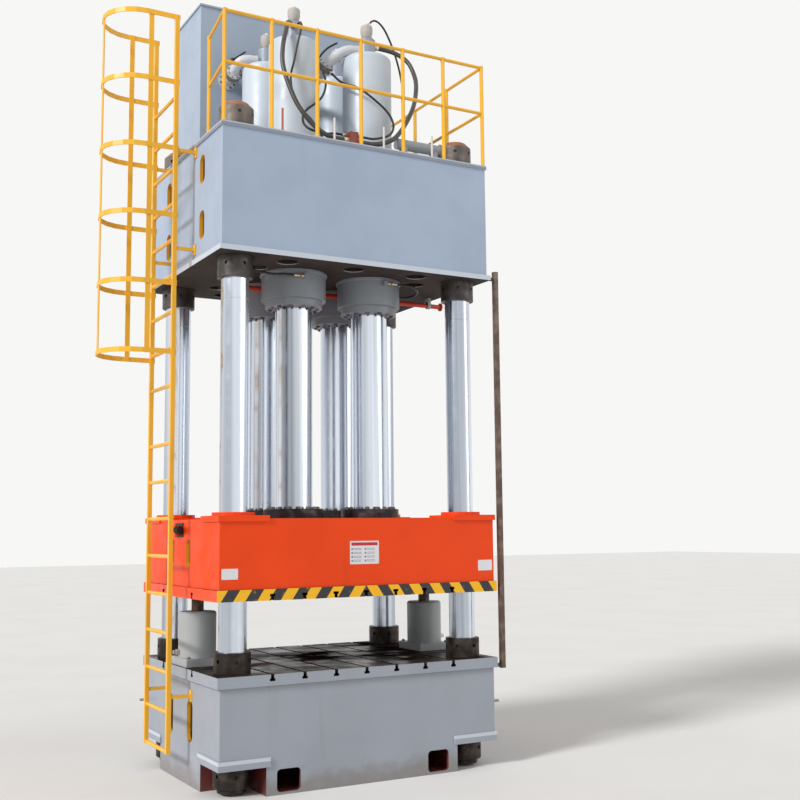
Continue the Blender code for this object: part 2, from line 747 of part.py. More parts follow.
def make_bed():
    bed = add_part(
        "bed_frame",
        boxes(((-BED_WIDTH / 2, -BED_DEPTH / 2, 0), (BED_WIDTH / 2, BED_DEPTH / 2, BED_HEIGHT))),
        GREY_PAINT)
    fuse(bed, "corner_plates", corner_plates())
    cut(bed, "notches", corner_notches())
    inner_width, inner_depth = BED_WIDTH - 2 * WALL, BED_DEPTH - 2 * WALL
    cell_top = BED_HEIGHT - BED_ROOF
    cut(bed, "cells", cell_boxes(inner_width, inner_depth, BED_FLOOR, cell_top))
    cut(bed, "tie_holes", tie_holes(BED_WIDTH, (CORNER_PLATE_TOP_Z + cell_top) / 2))
    cut(bed, "bores", column_bores(NUT_BORE, -OVERRUN, BED_HEIGHT + OVERRUN))
    hatch = rounded_outline(HATCH_WIDTH, HATCH_HEIGHT, HATCH_RADIUS, ARC_STEPS)
    for side in (-1, 1):
        turn = Matrix.Rotation(math.radians(90), 4, "X")
        place = (side * HATCH_X, -BED_DEPTH / 2, BED_FLOOR + HATCH_HEIGHT / 2)
        cut(bed, "hatch", prism(hatch, 2 * OVERRUN + WALL, Matrix.Translation(place) @ turn))
        for slot_y in (-BED_SLOT_Y, BED_SLOT_Y):
            cut(bed, "slot", slot_through_side(
                BED_SLOT_WIDTH, BED_SLOT_LOW_Z, BED_SLOT_HIGH_Z, slot_y,
                2 * (OVERRUN + WALL), side, BED_WIDTH / 2))
    wall_x = BED_WIDTH / 2
    fuse(bed, "stub", rods(
        TUBE_SIDES, STUB_RADIUS,
        ((wall_x - WALL / 2, -STUB_Y, STUB_Z), (wall_x + STUB_LENGTH, -STUB_Y, STUB_Z)),
        ((-wall_x - STUB_LENGTH, STUB_Y, STUB_Z), (WALL / 2 - wall_x, STUB_Y, STUB_Z))))
    return bed


def t_slot_boxes(width, depth, face_z, sign, slot_width, top_depth, bottom_depth, across):
    # Boxes sunk into a face: sign is +1 where the slots open upwards and -1 downwards.
    # The cross slots run from the side edges to the outermost long slots.
    low_z, high_z = face_z - sign * bottom_depth, face_z - sign * top_depth
    half = slot_width / 2
    lines = [(index - (T_SLOTS - 1) / 2) * T_SLOT_PITCH for index in range(T_SLOTS)]
    if across:
        reach = width / 2 + OVERRUN
        return boxes(*(
            ((side_x * reach, side_y * CROSS_SLOT_Y - half, low_z),
             (side_x * lines[-1], side_y * CROSS_SLOT_Y + half, high_z))
            for _, side_x, side_y in CORNERS))
    reach = depth / 2 + OVERRUN
    return boxes(*(((x - half, -reach, low_z), (x + half, reach, high_z)) for x in lines))


def cut_t_slots(plate, width, depth, face_z, sign):
    head_top = T_SLOT_DEPTH - T_HEAD_HEIGHT
    for across in (False, True):
        cut(plate, "necks", t_slot_boxes(
            width, depth, face_z, sign, T_NECK_WIDTH, -OVERRUN, T_SLOT_DEPTH, across))
        cut(plate, "heads", t_slot_boxes(
            width, depth, face_z, sign, T_HEAD_WIDTH, head_top, T_SLOT_DEPTH, across))


def make_table():
    table = add_part(
        "table_plate",
        boxes(((-TABLE_WIDTH / 2, -TABLE_DEPTH / 2, TABLE_LOW_Z),
               (TABLE_WIDTH / 2, TABLE_DEPTH / 2, TABLE_TOP_Z))),
        MACHINED_STEEL)
    cut_t_slots(table, TABLE_WIDTH, TABLE_DEPTH, TABLE_TOP_Z, 1)
    cut(table, "bores", column_bores(NUT_BORE, BED_HEIGHT - OVERRUN, TABLE_TOP_Z + OVERRUN))


def crown_cells():
    low_z, high_z = CROWN_BASE_TOP_Z, DECK_LOW_Z - WALL
    outer_y = CROWN_DEPTH / 2 - WALL
    inner_y = outer_y - CROWN_CELL_DEPTH
    half_x = CROWN_CELL_SPAN_X / 2
    outer_x = CROWN_WIDTH / 2 - WALL
    inner_x = outer_x - CROWN_SIDE_CELL_WIDTH
    half_y = CROWN_SIDE_CELL_SPAN_Y / 2
    return boxes(
        ((-half_x, -outer_y, low_z), (half_x, -inner_y, high_z)),
        ((-half_x, inner_y, low_z), (half_x, outer_y, high_z)),
        ((-outer_x, -half_y, low_z), (-inner_x, half_y, high_z)),
        ((inner_x, -half_y, low_z), (outer_x, half_y, high_z)))


def process_holes():
    places = [(x, y) for x in (-PROCESS_ROW_X, 0, PROCESS_ROW_X) for y in (-PROCESS_ROW_Y, PROCESS_ROW_Y)]
    places += [(sx * PROCESS_SIDE_X, sy * PROCESS_SIDE_Y) for _, sx, sy in CORNERS]
    low_z, high_z = CROWN_LOW_Z - OVERRUN, CROWN_BASE_TOP_Z + OVERRUN
    return upright_rods(VALVE_SIDES, PROCESS_HOLE_RADIUS, places, low_z, high_z)


def fuse_deck_pipe(crown):
    # The short pipe in front of the right cylinders, welded to the deck by two saddles.
    z = DECK_Z + DECK_PIPE_LIFT + DECK_PIPE_RADIUS
    left, right = DECK_PIPE_LEFT_X, DECK_PIPE_RIGHT_X
    fuse(crown, "deck_pipe", rods(
        ROUND_SIDES, DECK_PIPE_RADIUS, ((left, DECK_PIPE_Y, z), (right, DECK_PIPE_Y, z))))
    flange_left = right - DECK_PIPE_FLANGE_THICKNESS / 2
    fuse(crown, "deck_flange", rods(
        ROUND_SIDES, DECK_PIPE_FLANGE_RADIUS,
        ((flange_left, DECK_PIPE_Y, z), (flange_left + DECK_PIPE_FLANGE_THICKNESS, DECK_PIPE_Y, z))))
    saddles = []
    for x in (left + SADDLE_INSET, right - SADDLE_INSET):
        saddles.append(((x - SADDLE_WIDTH / 2, DECK_PIPE_Y - SADDLE_DEPTH / 2, DECK_Z - DECK_THICKNESS / 2),
                        (x + SADDLE_WIDTH / 2, DECK_PIPE_Y + SADDLE_DEPTH / 2, z)))
    fuse(crown, "saddles", boxes(*saddles))


def make_crown():
    crown = add_part(
        "crown_frame",
        boxes(((-CROWN_WIDTH / 2, -CROWN_DEPTH / 2, CROWN_LOW_Z + CROWN_BASE_THICKNESS / 2),
               (CROWN_WIDTH / 2, CROWN_DEPTH / 2, DECK_Z - DECK_THICKNESS / 2))),
        GREY_PAINT)
    fuse(crown, "plates", boxes(
        ((-CROWN_BASE_WIDTH / 2, -CROWN_BASE_DEPTH / 2, CROWN_LOW_Z),
         (CROWN_BASE_WIDTH / 2, CROWN_BASE_DEPTH / 2, CROWN_BASE_TOP_Z)),
        ((-DECK_WIDTH / 2, -DECK_DEPTH / 2, DECK_LOW_Z), (DECK_WIDTH / 2, DECK_DEPTH / 2, DECK_Z))))
    cut(crown, "cells", crown_cells())
    cut(crown, "process_holes", process_holes())
    cut(crown, "column_bores", column_bores(NUT_BORE, CROWN_LOW_Z - OVERRUN, DECK_Z + OVERRUN))
    cut(crown, "cylinder_bores", upright_rods(
        WIDE_SIDES, BARREL_RADIUS + SEAT_GAP, cylinder_places(),
        CROWN_LOW_Z - OVERRUN, DECK_Z + OVERRUN))
    for side in (-1, 1):
        for slot_y in (-CROWN_SLOT_Y, CROWN_SLOT_Y):
            for low_z in (CROWN_SLOT_LOW_Z, CROWN_SLOT_HIGH_Z):
                cut(crown, "slot", slot_through_side(
                    CROWN_SLOT_WIDTH, low_z, low_z + CROWN_SLOT_LENGTH, slot_y,
                    2 * (OVERRUN + WALL), side, CROWN_WIDTH / 2))
    pin_y = PIN_INSET - DECK_DEPTH / 2
    pins = [(share * DECK_WIDTH / 2, pin_y) for share in PIN_PLACE_SHARES]
    fuse(crown, "pins", upright_rods(
        RUNG_SIDES, PIN_RADIUS, pins, DECK_Z - DECK_THICKNESS / 2, DECK_Z + PIN_HEIGHT))
    fuse_deck_pipe(crown)
    fuse_fitting(crown, "hose_left_thin", -1)
    fuse_fitting(crown, "hose_right_thin", -1)
    arrival = hose_end("hose_cylinder_left", -1)
    half = CROWN_LUG_SIZE / 2
    fuse(crown, "lug", boxes(
        ((CROWN_LUG_X - half, arrival.y - half, arrival.z - half),
         (CROWN_LUG_X + half, arrival.y + half, CROWN_LOW_Z + half))))
    fuse_fitting(crown, "hose_cylinder_left", -1)


def tommy_holes(x, y, z, turn_deg):
    # Blind spanner holes round a nut, each in the middle of a flat of its rim.
    shape = bmesh.new()
    for hole in range(TOMMY_HOLES):
        angle = math.radians(turn_deg) + 2 * math.pi * hole / TOMMY_HOLES
        out = Vector((math.cos(angle), math.sin(angle), 0))
        middle = Vector((x, y, z))
        start = middle + out * (NUT_RADIUS - TOMMY_DEPTH)
        put_rod(shape, start, middle + out * (NUT_RADIUS + OVERRUN), TOMMY_RADIUS, RUNG_SIDES)
    return finish_mesh(shape)


def make_nut(name, x, y, low_z, high_z, chamfer, turn_deg):
    profile = [(NUT_BORE, high_z), (NUT_RADIUS - chamfer, high_z)]
    if chamfer:
        profile.append((NUT_RADIUS, high_z - chamfer))
    profile += [(NUT_RADIUS, low_z), (NUT_BORE, low_z)]
    nut = turned(name, profile, ROUND_SIDES, BLACKENED_STEEL, x, y, closed=True)
    hole_z = low_z + TOMMY_HEIGHT_SHARE * (high_z - low_z)
    cut(nut, "tommy_holes", tommy_holes(x, y, hole_z, turn_deg))


def make_column(name, x, y, turn_deg):
    # The foot nut is one piece with its column here.
    foot_top = NOTCH_HEIGHT - SEAT_GAP
    foot_low = foot_top - FOOT_NUT_HEIGHT
    profile = [
        (0, COLUMN_TOP_Z),
        (COLUMN_RADIUS - COLUMN_CHAMFER, COLUMN_TOP_Z),
        (COLUMN_RADIUS, COLUMN_TOP_Z - COLUMN_CHAMFER),
        (COLUMN_RADIUS, foot_top),
        (NUT_RADIUS, foot_top),
        (NUT_RADIUS, foot_low + NUT_CHAMFER),
        (NUT_RADIUS - NUT_CHAMFER, foot_low),
        (COLUMN_RADIUS, foot_low),
        (COLUMN_RADIUS, COLUMN_FOOT_Z),
        (0, COLUMN_FOOT_Z),
    ]
    column = turned(name, profile, ROUND_SIDES, CHROME, x, y)
    hole_z = foot_low + TOMMY_HEIGHT_SHARE * FOOT_NUT_HEIGHT
    cut(column, "tommy_holes", tommy_holes(x, y, hole_z, turn_deg))


def make_columns():
    table_seat = TABLE_TOP_Z + SEAT_GAP
    crown_seat = CROWN_LOW_Z - SEAT_GAP
    for index, (x, y) in enumerate(column_places()):
        corner = CORNERS[index][0]
        make_column("column_" + corner, x, y, FOOT_NUT_TURNS_DEG[index])
        make_nut(
            "table_nut_" + corner, x, y, table_seat, table_seat + TABLE_NUT_HEIGHT,
            0, TABLE_NUT_TURNS_DEG[index])
        make_nut(
            "lower_nut_" + corner, x, y, crown_seat - LOWER_NUT_HEIGHT, crown_seat,
            0, LOWER_NUT_TURNS_DEG[index])
        make_nut(
            "top_nut_" + corner, x, y, DECK_Z + SEAT_GAP, TOP_NUT_TOP_Z,
            TOP_NUT_CHAMFER, TOP_NUT_TURNS_DEG[index])


# Cylinders

def shoulder_arc(outer_radius, top_z, shoulder):
    centre_radius, centre_z = outer_radius - shoulder, top_z - shoulder
    arc = []
    for step in range(ARC_STEPS + 1):
        angle = math.radians(90) * (1 - step / ARC_STEPS)
        arc.append((centre_radius + shoulder * math.cos(angle), centre_z + shoulder * math.sin(angle)))
    return arc


def make_main_cylinder(name, x, y):
    seat_z = CROWN_LOW_Z - SEAT_GAP
    profile = [(0, BARREL_TOP_Z)]
    profile += shoulder_arc(BARREL_RADIUS, BARREL_TOP_Z, BARREL_SHOULDER)
    profile += [
        (BARREL_RADIUS, seat_z),
        (COLLAR_RADIUS, seat_z),
        (COLLAR_RADIUS, seat_z - COLLAR_HEIGHT),
        (CYLINDER_RADIUS, seat_z - COLLAR_HEIGHT),
        (CYLINDER_RADIUS, CYLINDER_LOW_Z),
        (CYLINDER_BORE, CYLINDER_LOW_Z),
        (CYLINDER_BORE, BARREL_TOP_Z - BARREL_ROOF),
        (0, BARREL_TOP_Z - BARREL_ROOF),
    ]
    return turned(name, profile, WIDE_SIDES, GREY_PAINT, x, y)


def make_gland(name, x, y):
    high_z = CYLINDER_LOW_Z - SEAT_GAP
    bore = PLUNGER_RADIUS + GLAND_CLEARANCE
    profile = [(bore, high_z), (GLAND_RADIUS, high_z), (GLAND_RADIUS, GLAND_LOW_Z), (bore, GLAND_LOW_Z)]
    turned(name, profile, WIDE_SIDES, GREY_PAINT, x, y, closed=True)


def make_plunger(name, x, y):
    seat_z = SLIDE_TOP_Z + SEAT_GAP
    profile = [
        (0, PLUNGER_TOP_Z),
        (PLUNGER_RADIUS - PLUNGER_CHAMFER, PLUNGER_TOP_Z),
        (PLUNGER_RADIUS, PLUNGER_TOP_Z - PLUNGER_CHAMFER),
        (PLUNGER_RADIUS, seat_z + FLANGE_HEIGHT),
        (FLANGE_RADIUS, seat_z + FLANGE_HEIGHT),
        (FLANGE_RADIUS, seat_z),
        (0, seat_z),
    ]
    turned(name, profile, WIDE_SIDES, CHROME, x, y)


def make_prefill_valve(name, x, y, has_port):
    low_z = BARREL_TOP_Z + SEAT_GAP
    neck_z = BARREL_TOP_Z + VALVE_NECK_HEIGHT
    bulb_z = neck_z + VALVE_STEM_HEIGHT
    bulb_top = bulb_z + BULB_HEIGHT
    cap_top = bulb_top + BULB_CAP_HEIGHT
    profile = [(0, cap_top), (BULB_CAP_RADIUS, cap_top), (BULB_CAP_RADIUS, bulb_top)]
    profile += [
        (BULB_RADIUS * share_r, bulb_z + BULB_HEIGHT * share_z)
        for share_r, share_z in reversed(BULB_PROFILE_SHARES)]
    profile += [
        (VALVE_STEM_RADIUS, bulb_z),
        (VALVE_STEM_RADIUS, neck_z),
        (VALVE_NECK_RADIUS, neck_z),
        (VALVE_NECK_RADIUS, low_z),
        (0, low_z),
    ]
    valve = turned(name, profile, VALVE_SIDES, GREY_PAINT, x, y)
    if has_port:
        fuse(valve, "port", rods(
            VALVE_SIDES, PORT_RADIUS, ((x - PORT_REACH, y, PORT_Z), (x, y, PORT_Z))))
    return valve


def cylinder_lug(fitting_at, side):
    # A block on the front of a cylinder that its hose fitting is screwed into.
    x = side * CYLINDER_LUG_X
    half = CYLINDER_LUG_SIZE / 2
    inner_y = -CYLINDER_SPAN_Y / 2 - CYLINDER_RADIUS + CYLINDER_LUG_SIZE
    return boxes(((x - half, fitting_at.y - half, fitting_at.z - half), (x + half, inner_y, fitting_at.z + half)))


def fuse_cylinder_fittings(cylinders):
    for side, corner in ((-1, "left"), (1, "right")):
        hose = "hose_cylinder_" + corner
        start = hose_end(hose, 0)
        body = cylinders["front_" + corner]
        fuse(body, "lug", cylinder_lug(start, side))
        fuse_fitting(body, hose, 0, CYLINDER_FITTING_DEPTH)
    fuse_fitting(cylinders["front_right"], "hose_cylinder_right", -1)


def make_cylinders():
    cylinders, valves = {}, {}
    for (corner, _, _), (x, y) in zip(CORNERS, cylinder_places()):
        cylinders[corner] = make_main_cylinder("main_cylinder_" + corner, x, y)
        make_gland("gland_ring_" + corner, x, y)
        make_plunger("plunger_" + corner, x, y)
        has_port = corner in (LEFT_VALVE_CORNER, RIGHT_VALVE_CORNER)
        valves[corner] = make_prefill_valve("prefill_valve_" + corner, x, y, has_port)
    fuse_cylinder_fittings(cylinders)
    for hose in ("hose_left_thick", "hose_left_thin"):
        fuse_fitting(valves["front_left"], hose, 0)
    for hose in ("hose_right_thick", "hose_right_thin"):
        fuse_fitting(valves["front_right"], hose, 0)


# Suction pipes

def suction_route(port, reach, drop, shares):
    run = TANK_FRONT_Y - port.y
    return [port + Vector((-reach * x, run * y, -drop * z)) for x, y, z in shares]


def make_valve_lever(name, stem_top, stem_out, grip_out, rise_deg):
    hub_low = stem_top + stem_out * SEAT_GAP
    hub_high = hub_low + stem_out * LEVER_HUB_HEIGHT
    lever = add_part(name, rods(TUBE_SIDES, LEVER_HUB_RADIUS, (hub_low, hub_high)), BLACKENED_STEEL)
    rise = math.radians(rise_deg)
    tip = grip_out * math.cos(rise) + stem_out * math.sin(rise)
    middle = (hub_low + hub_high) / 2
    fuse(lever, "grip", rods(RUNG_SIDES, LEVER_RADIUS, (middle, middle + tip * LEVER_LENGTH)))
    move_origin(lever, hub_low)


def make_suction_pipe(side_name, port, route, valve_point, lever_turn_deg, lever_rise_deg):
    # The route runs from the port's flange, through the valve's wafer, to the tank's face.
    pipe = add_part(
        "suction_pipe_" + side_name,
        tube_mesh(smooth_route(route, PIPE_RADIUS), PIPE_RADIUS, PIPE_RESOLUTION), GREY_PAINT)
    port_face = port - Vector((PIPE_FLANGE_THICKNESS, 0, 0))
    fuse(pipe, "port_flange", rods(VALVE_SIDES, PIPE_FLANGE_RADIUS, (port_face, port)))
    tank_face = Vector((route[-1].x, TANK_FRONT_Y - SEAT_GAP, route[-1].z))
    fuse(pipe, "tank_flange", rods(
        VALVE_SIDES, TANK_FLANGE_RADIUS,
        (tank_face - Vector((0, PIPE_FLANGE_THICKNESS, 0)), tank_face)))
    valve_at = route[valve_point]
    axis = (route[valve_point + 1] - valve_at).normalized()
    half = axis * WAFER_THICKNESS / 2
    fuse(pipe, "wafer", rods(ROUND_SIDES, WAFER_RADIUS, (valve_at - half, valve_at + half)))
    stem_out = Vector((-axis.x * axis.z, -axis.y * axis.z, 1 - axis.z * axis.z)).normalized()
    stem_top = valve_at + stem_out * (WAFER_RADIUS + WAFER_STEM_HEIGHT)
    fuse(pipe, "stem", rods(TUBE_SIDES, WAFER_STEM_RADIUS, (valve_at, stem_top)))
    grip_out = Matrix.Rotation(math.radians(lever_turn_deg), 3, stem_out) @ -axis
    make_valve_lever("valve_lever_" + side_name, stem_top, stem_out, grip_out, lever_rise_deg)
    return pipe


def make_suction_pipes():
    reach = CYLINDER_SPAN_X / 2
    left_port = Vector((-reach - PORT_REACH - SEAT_GAP, CYLINDER_SPAN_Y / 2, PORT_Z))
    left_route = suction_route(left_port, LEFT_REACH, LEFT_DROP, LEFT_ROUTE_SHARES)
    make_suction_pipe(
        "left", left_port, left_route, LEFT_VALVE_POINT, LEFT_LEVER_TURN_DEG, LEFT_LEVER_RISE_DEG)
    right_port = Vector((reach - PORT_REACH - SEAT_GAP, -CYLINDER_SPAN_Y / 2, PORT_Z))
    right_route = suction_route(right_port, RIGHT_REACH, RIGHT_DROP, RIGHT_ROUTE_SHARES)
    pipe = make_suction_pipe(
        "right", right_port, right_route, RIGHT_VALVE_POINT, RIGHT_LEVER_TURN_DEG, RIGHT_LEVER_RISE_DEG)
    fuse_fitting(pipe, "hose_middle", 0)
    fuse_fitting(pipe, "hose_middle_left", 0)


# Slide

def slide_pads():
    pairs = []
    low_z = PAD_TOP_Z - PAD_THICKNESS
    for _, side_x, side_y in CORNERS:
        outer_x = side_x * (SLIDE_WIDTH / 2 + PAD_LIP)
        outer_y = side_y * (SLIDE_DEPTH / 2 + PAD_LIP)
        inner_x = outer_x - side_x * PAD_WIDTH
        inner_y = outer_y - side_y * PAD_DEPTH
        pairs.append(((inner_x, inner_y, low_z), (outer_x, outer_y, PAD_TOP_Z)))
    return boxes(*pairs)


def make_slide():
    frame = add_part(
        "slide_frame",
        boxes(((-SLIDE_WIDTH / 2, -SLIDE_DEPTH / 2, SLIDE_FRAME_LOW_Z),
               (SLIDE_WIDTH / 2, SLIDE_DEPTH / 2, SLIDE_TOP_Z))),
        ORANGE_PAINT)
    fuse(frame, "pads", slide_pads())
    fuse(frame, "guides", upright_rods(
        ROUND_SIDES, GUIDE_RADIUS, column_places(), SLIDE_TOP_Z, GUIDE_TOP_Z))
    block_y = SIDE_BLOCK_Y + SIDE_BLOCK_WIDTH / 2
    fuse(frame, "side_block", boxes(
        ((-SLIDE_WIDTH / 2 - SIDE_BLOCK_REACH, block_y - SIDE_BLOCK_WIDTH, SLIDE_TOP_Z - SIDE_BLOCK_HEIGHT),
         (RIB - SLIDE_WIDTH / 2, block_y, SLIDE_TOP_Z - PAD_THICKNESS))))
    inner_width, inner_depth = SLIDE_WIDTH - 2 * WALL, SLIDE_DEPTH - 2 * WALL
    cell_low, cell_high = SLIDE_FRAME_LOW_Z + SLIDE_ROOF, SLIDE_TOP_Z - SLIDE_ROOF
    cut(frame, "cells", cell_boxes(inner_width, inner_depth, cell_low, cell_high))
    cut(frame, "tie_holes", tie_holes(SLIDE_WIDTH, (cell_low + cell_high) / 2))
    cut(frame, "bores", column_bores(
        COLUMN_RADIUS + GUIDE_CLEARANCE, SLIDE_LOW_Z - OVERRUN, GUIDE_TOP_Z + OVERRUN))
    for side in (-1, 1):
        for slot_y in (-SLIDE_SLOT_Y, SLIDE_SLOT_Y):
            cut(frame, "slot", slot_through_side(
                SLIDE_SLOT_WIDTH, SLIDE_SLOT_LOW_Z, SLIDE_SLOT_HIGH_Z, slot_y,
                2 * (OVERRUN + WALL), side, SLIDE_WIDTH / 2))


def make_slide_plate():
    plate = add_part(
        "slide_plate",
        boxes(((-SLIDE_PLATE_WIDTH / 2, -SLIDE_PLATE_DEPTH / 2, SLIDE_LOW_Z),
               (SLIDE_PLATE_WIDTH / 2, SLIDE_PLATE_DEPTH / 2, SLIDE_FRAME_LOW_Z - SEAT_GAP))),
        ORANGE_PAINT)
    cut_t_slots(plate, SLIDE_PLATE_WIDTH, SLIDE_PLATE_DEPTH, SLIDE_LOW_Z, -1)
    cut(plate, "bores", column_bores(
        COLUMN_RADIUS + GUIDE_CLEARANCE, SLIDE_LOW_Z - OVERRUN, SLIDE_FRAME_LOW_Z + OVERRUN))


# Buffers

def make_buffer(side_name, x):
    bore = BUFFER_ROD_RADIUS + BUFFER_ROD_CLEARANCE
    rod_low = BUFFER_TOP_Z - BUFFER_ROD_INSERT
    bore_low = rod_low - BUFFER_STROKE - BUFFER_BORE_SPARE
    body_low = BUFFER_PAD_TOP_Z - BUFFER_PAD_HEIGHT / 2
    profile = [
        (0, bore_low),
        (bore, bore_low),
        (bore, BUFFER_TOP_Z),
        (BUFFER_RADIUS - BUFFER_CHAMFER, BUFFER_TOP_Z),
        (BUFFER_RADIUS, BUFFER_TOP_Z - BUFFER_CHAMFER),
        (BUFFER_RADIUS, body_low),
        (0, body_low),
    ]
    buffer = turned("buffer_cylinder_" + side_name, profile, ROUND_SIDES, GREY_PAINT, x)
    half_x, half_y = BUFFER_PAD_WIDTH / 2, BUFFER_PAD_DEPTH / 2
    fuse(buffer, "pad", boxes(
        ((x - half_x, -half_y, TABLE_TOP_Z + SEAT_GAP), (x + half_x, half_y, BUFFER_PAD_TOP_Z))))
    out = Vector((math.copysign(1, x), 0, 0))
    port = Vector((x, 0, TABLE_TOP_Z + BUFFER_PORT_RISE))
    fuse(buffer, "port", rods(
        VALVE_SIDES, BUFFER_PORT_RADIUS,
        (port + out * (BUFFER_RADIUS - OVERRUN), port + out * (BUFFER_RADIUS + BUFFER_PORT_REACH))))
    rod_top = SLIDE_LOW_Z - SEAT_GAP
    rod_profile = [(0, rod_top), (BUFFER_ROD_RADIUS, rod_top), (BUFFER_ROD_RADIUS, rod_low), (0, rod_low)]
    turned("buffer_rod_" + side_name, rod_profile, ROUND_SIDES, BLACKENED_STEEL, x)


# Oil tank

def make_tank():
    back_y = TANK_FRONT_Y + TANK_DEPTH
    half_x = TANK_WIDTH / 2
    tank = add_part(
        "oil_tank",
        boxes(((-half_x, TANK_FRONT_Y, TANK_LOW_Z), (half_x, back_y, TANK_TOP_Z))),
        GREY_PAINT)
    fuse(tank, "lid", boxes(
        ((-half_x - TANK_LID_LIP, TANK_FRONT_Y - TANK_LID_LIP, TANK_TOP_Z - TANK_LID_THICKNESS / 2),
         (half_x + TANK_LID_LIP, back_y + TANK_LID_LIP, TANK_TOP_Z + TANK_LID_THICKNESS / 2))))
    skid_front = TANK_FRONT_Y + SKID_FRONT_INSET
    skid_back = DECK_DEPTH / 2 - SKID_BACK_INSET
    skids = []
    for x in (-SKID_X, SKID_X):
        skids.append(((x - SKID_WIDTH / 2, skid_front, DECK_Z + SEAT_GAP),
                      (x + SKID_WIDTH / 2, skid_back, TANK_LOW_Z + OVERRUN)))
    fuse(tank, "skids", boxes(*skids))


# Railing

def make_railing():
    foot_z = DECK_Z + SEAT_GAP
    pitch = 2 * RAIL_SIDE_X / (FRONT_POSTS - 1)
    posts = [(index * pitch - RAIL_SIDE_X, RAIL_FRONT_Y) for index in range(FRONT_POSTS)]
    posts += [(RAIL_SIDE_X, RAIL_FRONT_Y + index * RIGHT_POST_PITCH) for index in range(1, RIGHT_POSTS)]
    posts.append((RETURN_END_X, RETURN_END_Y))
    railing = add_part(
        "deck_railing",
        rods(TUBE_SIDES, RAIL_RADIUS,
             ((-RAIL_SIDE_X, RAIL_FRONT_Y, RAIL_TOP_Z), (RAIL_SIDE_X, RAIL_FRONT_Y, RAIL_TOP_Z)),
             ((-RAIL_SIDE_X, RAIL_FRONT_Y, RAIL_MID_Z), (RAIL_SIDE_X, RAIL_FRONT_Y, RAIL_MID_Z))),
        YELLOW_PAINT)
    fuse(railing, "posts", upright_rods(TUBE_SIDES, POST_RADIUS, posts, foot_z, RAIL_TOP_Z + POST_RADIUS))
    last_y = posts[-2][1]
    side_rails = []
    for z in (RAIL_TOP_Z, RAIL_MID_Z):
        side_rails.append(((RAIL_SIDE_X, RAIL_FRONT_Y, z), (RAIL_SIDE_X, last_y, z)))
        side_rails.append(((-RAIL_SIDE_X, RAIL_FRONT_Y, z), (RETURN_END_X, RETURN_END_Y, z)))
    fuse(railing, "side_rails", rods(TUBE_SIDES, RAIL_RADIUS, *side_rails))


# Ladder

def stile_boxes(low_z, high_z):
    half = STILE_SIZE / 2
    return boxes(*(
        ((LADDER_X - half, y - half, low_z), (LADDER_X + half, y + half, high_z))
        for y in (LADDER_FRONT_Y, LADDER_BACK_Y)))


def rung_rods(first_z, count):
    ends = []
    for index in range(count):
        z = first_z + index * RUNG_PITCH
        ends.append(((LADDER_X, LADDER_FRONT_Y, z), (LADDER_X, LADDER_BACK_Y, z)))
    return rods(RUNG_SIDES, RUNG_RADIUS, *ends)


def bracket_boxes(wall_x, z):
    # Arms from the stiles to end plates on the wall.
    half, plate_half = BRACKET_SIZE / 2, BRACKET_PLATE_WIDTH / 2
    face_x = wall_x - SEAT_GAP
    arms, plates = [], []
    for y in (LADDER_FRONT_Y, LADDER_BACK_Y):
        arms.append(((LADDER_X, y - half, z - half), (face_x - BRACKET_PLATE_THICKNESS / 2, y + half, z + half)))
        plates.append(((face_x - BRACKET_PLATE_THICKNESS, y - plate_half, z - BRACKET_PLATE_HEIGHT / 2),
                       (face_x, y + plate_half, z + BRACKET_PLATE_HEIGHT / 2)))
    return boxes(*arms), boxes(*plates)


def add_brackets(ladder, wall_x, z):
    arms, plates = bracket_boxes(wall_x, z)
    fuse(ladder, "bracket_arms", arms)
    fuse(ladder, "bracket_plates", plates)


def hoop_outline():
    # A U-shaped band that opens towards +X, drawn in the XY plane about the ladder's line.
    outer = LADDER_HALF_WIDTH + HOOP_THICKNESS / 2
    inner = LADDER_HALF_WIDTH - HOOP_THICKNESS / 2
    outline = [(HOOP_LAP, -outer)]
    for radius, order in ((outer, 1), (inner, -1)):
        arc = []
        for step in range(HOOP_ARC_STEPS + 1):
            angle = math.radians(270 - 180 * step / HOOP_ARC_STEPS)
            arc.append((radius * math.cos(angle) - HOOP_STRAIGHT, radius * math.sin(angle)))
        outline += arc[::order]
        if order == 1:
            outline += [(HOOP_LAP, outer), (HOOP_LAP, inner)]
    outline.append((HOOP_LAP, -inner))
    return outline


def cage_strips():
    low_z = HOOP_LOW_Z - HOOP_HEIGHT / 2
    high_z = HOOP_LOW_Z + (HOOPS - 1) * HOOP_PITCH + HOOP_HEIGHT / 2
    inner = LADDER_HALF_WIDTH - HOOP_THICKNESS / 2 + CAGE_STRIP_LAP
    far_x = LADDER_X - HOOP_STRAIGHT - inner
    side_x = LADDER_X - CAGE_SIDE_STRIP_REACH
    half = CAGE_STRIP_WIDTH / 2
    strips = [((far_x, LADDER_Y - half, low_z), (far_x + CAGE_STRIP_THICKNESS, LADDER_Y + half, high_z))]
    for side in (-1, 1):
        edges = sorted((LADDER_Y + side * inner, LADDER_Y + side * (inner - CAGE_STRIP_THICKNESS)))
        strips.append(((side_x - half, edges[0], low_z), (side_x + half, edges[1], high_z)))
    return boxes(*strips)


def make_lower_ladder():
    top_z = SPLICE_Z - SEAT_GAP / 2
    ladder = add_part("ladder_lower", stile_boxes(LADDER_FOOT_Z, top_z), YELLOW_PAINT)
    add_brackets(ladder, -BED_WIDTH / 2, BED_BRACKET_Z)
    fuse(ladder, "rungs", rung_rods(LOWER_FIRST_RUNG_Z, LOWER_RUNGS))


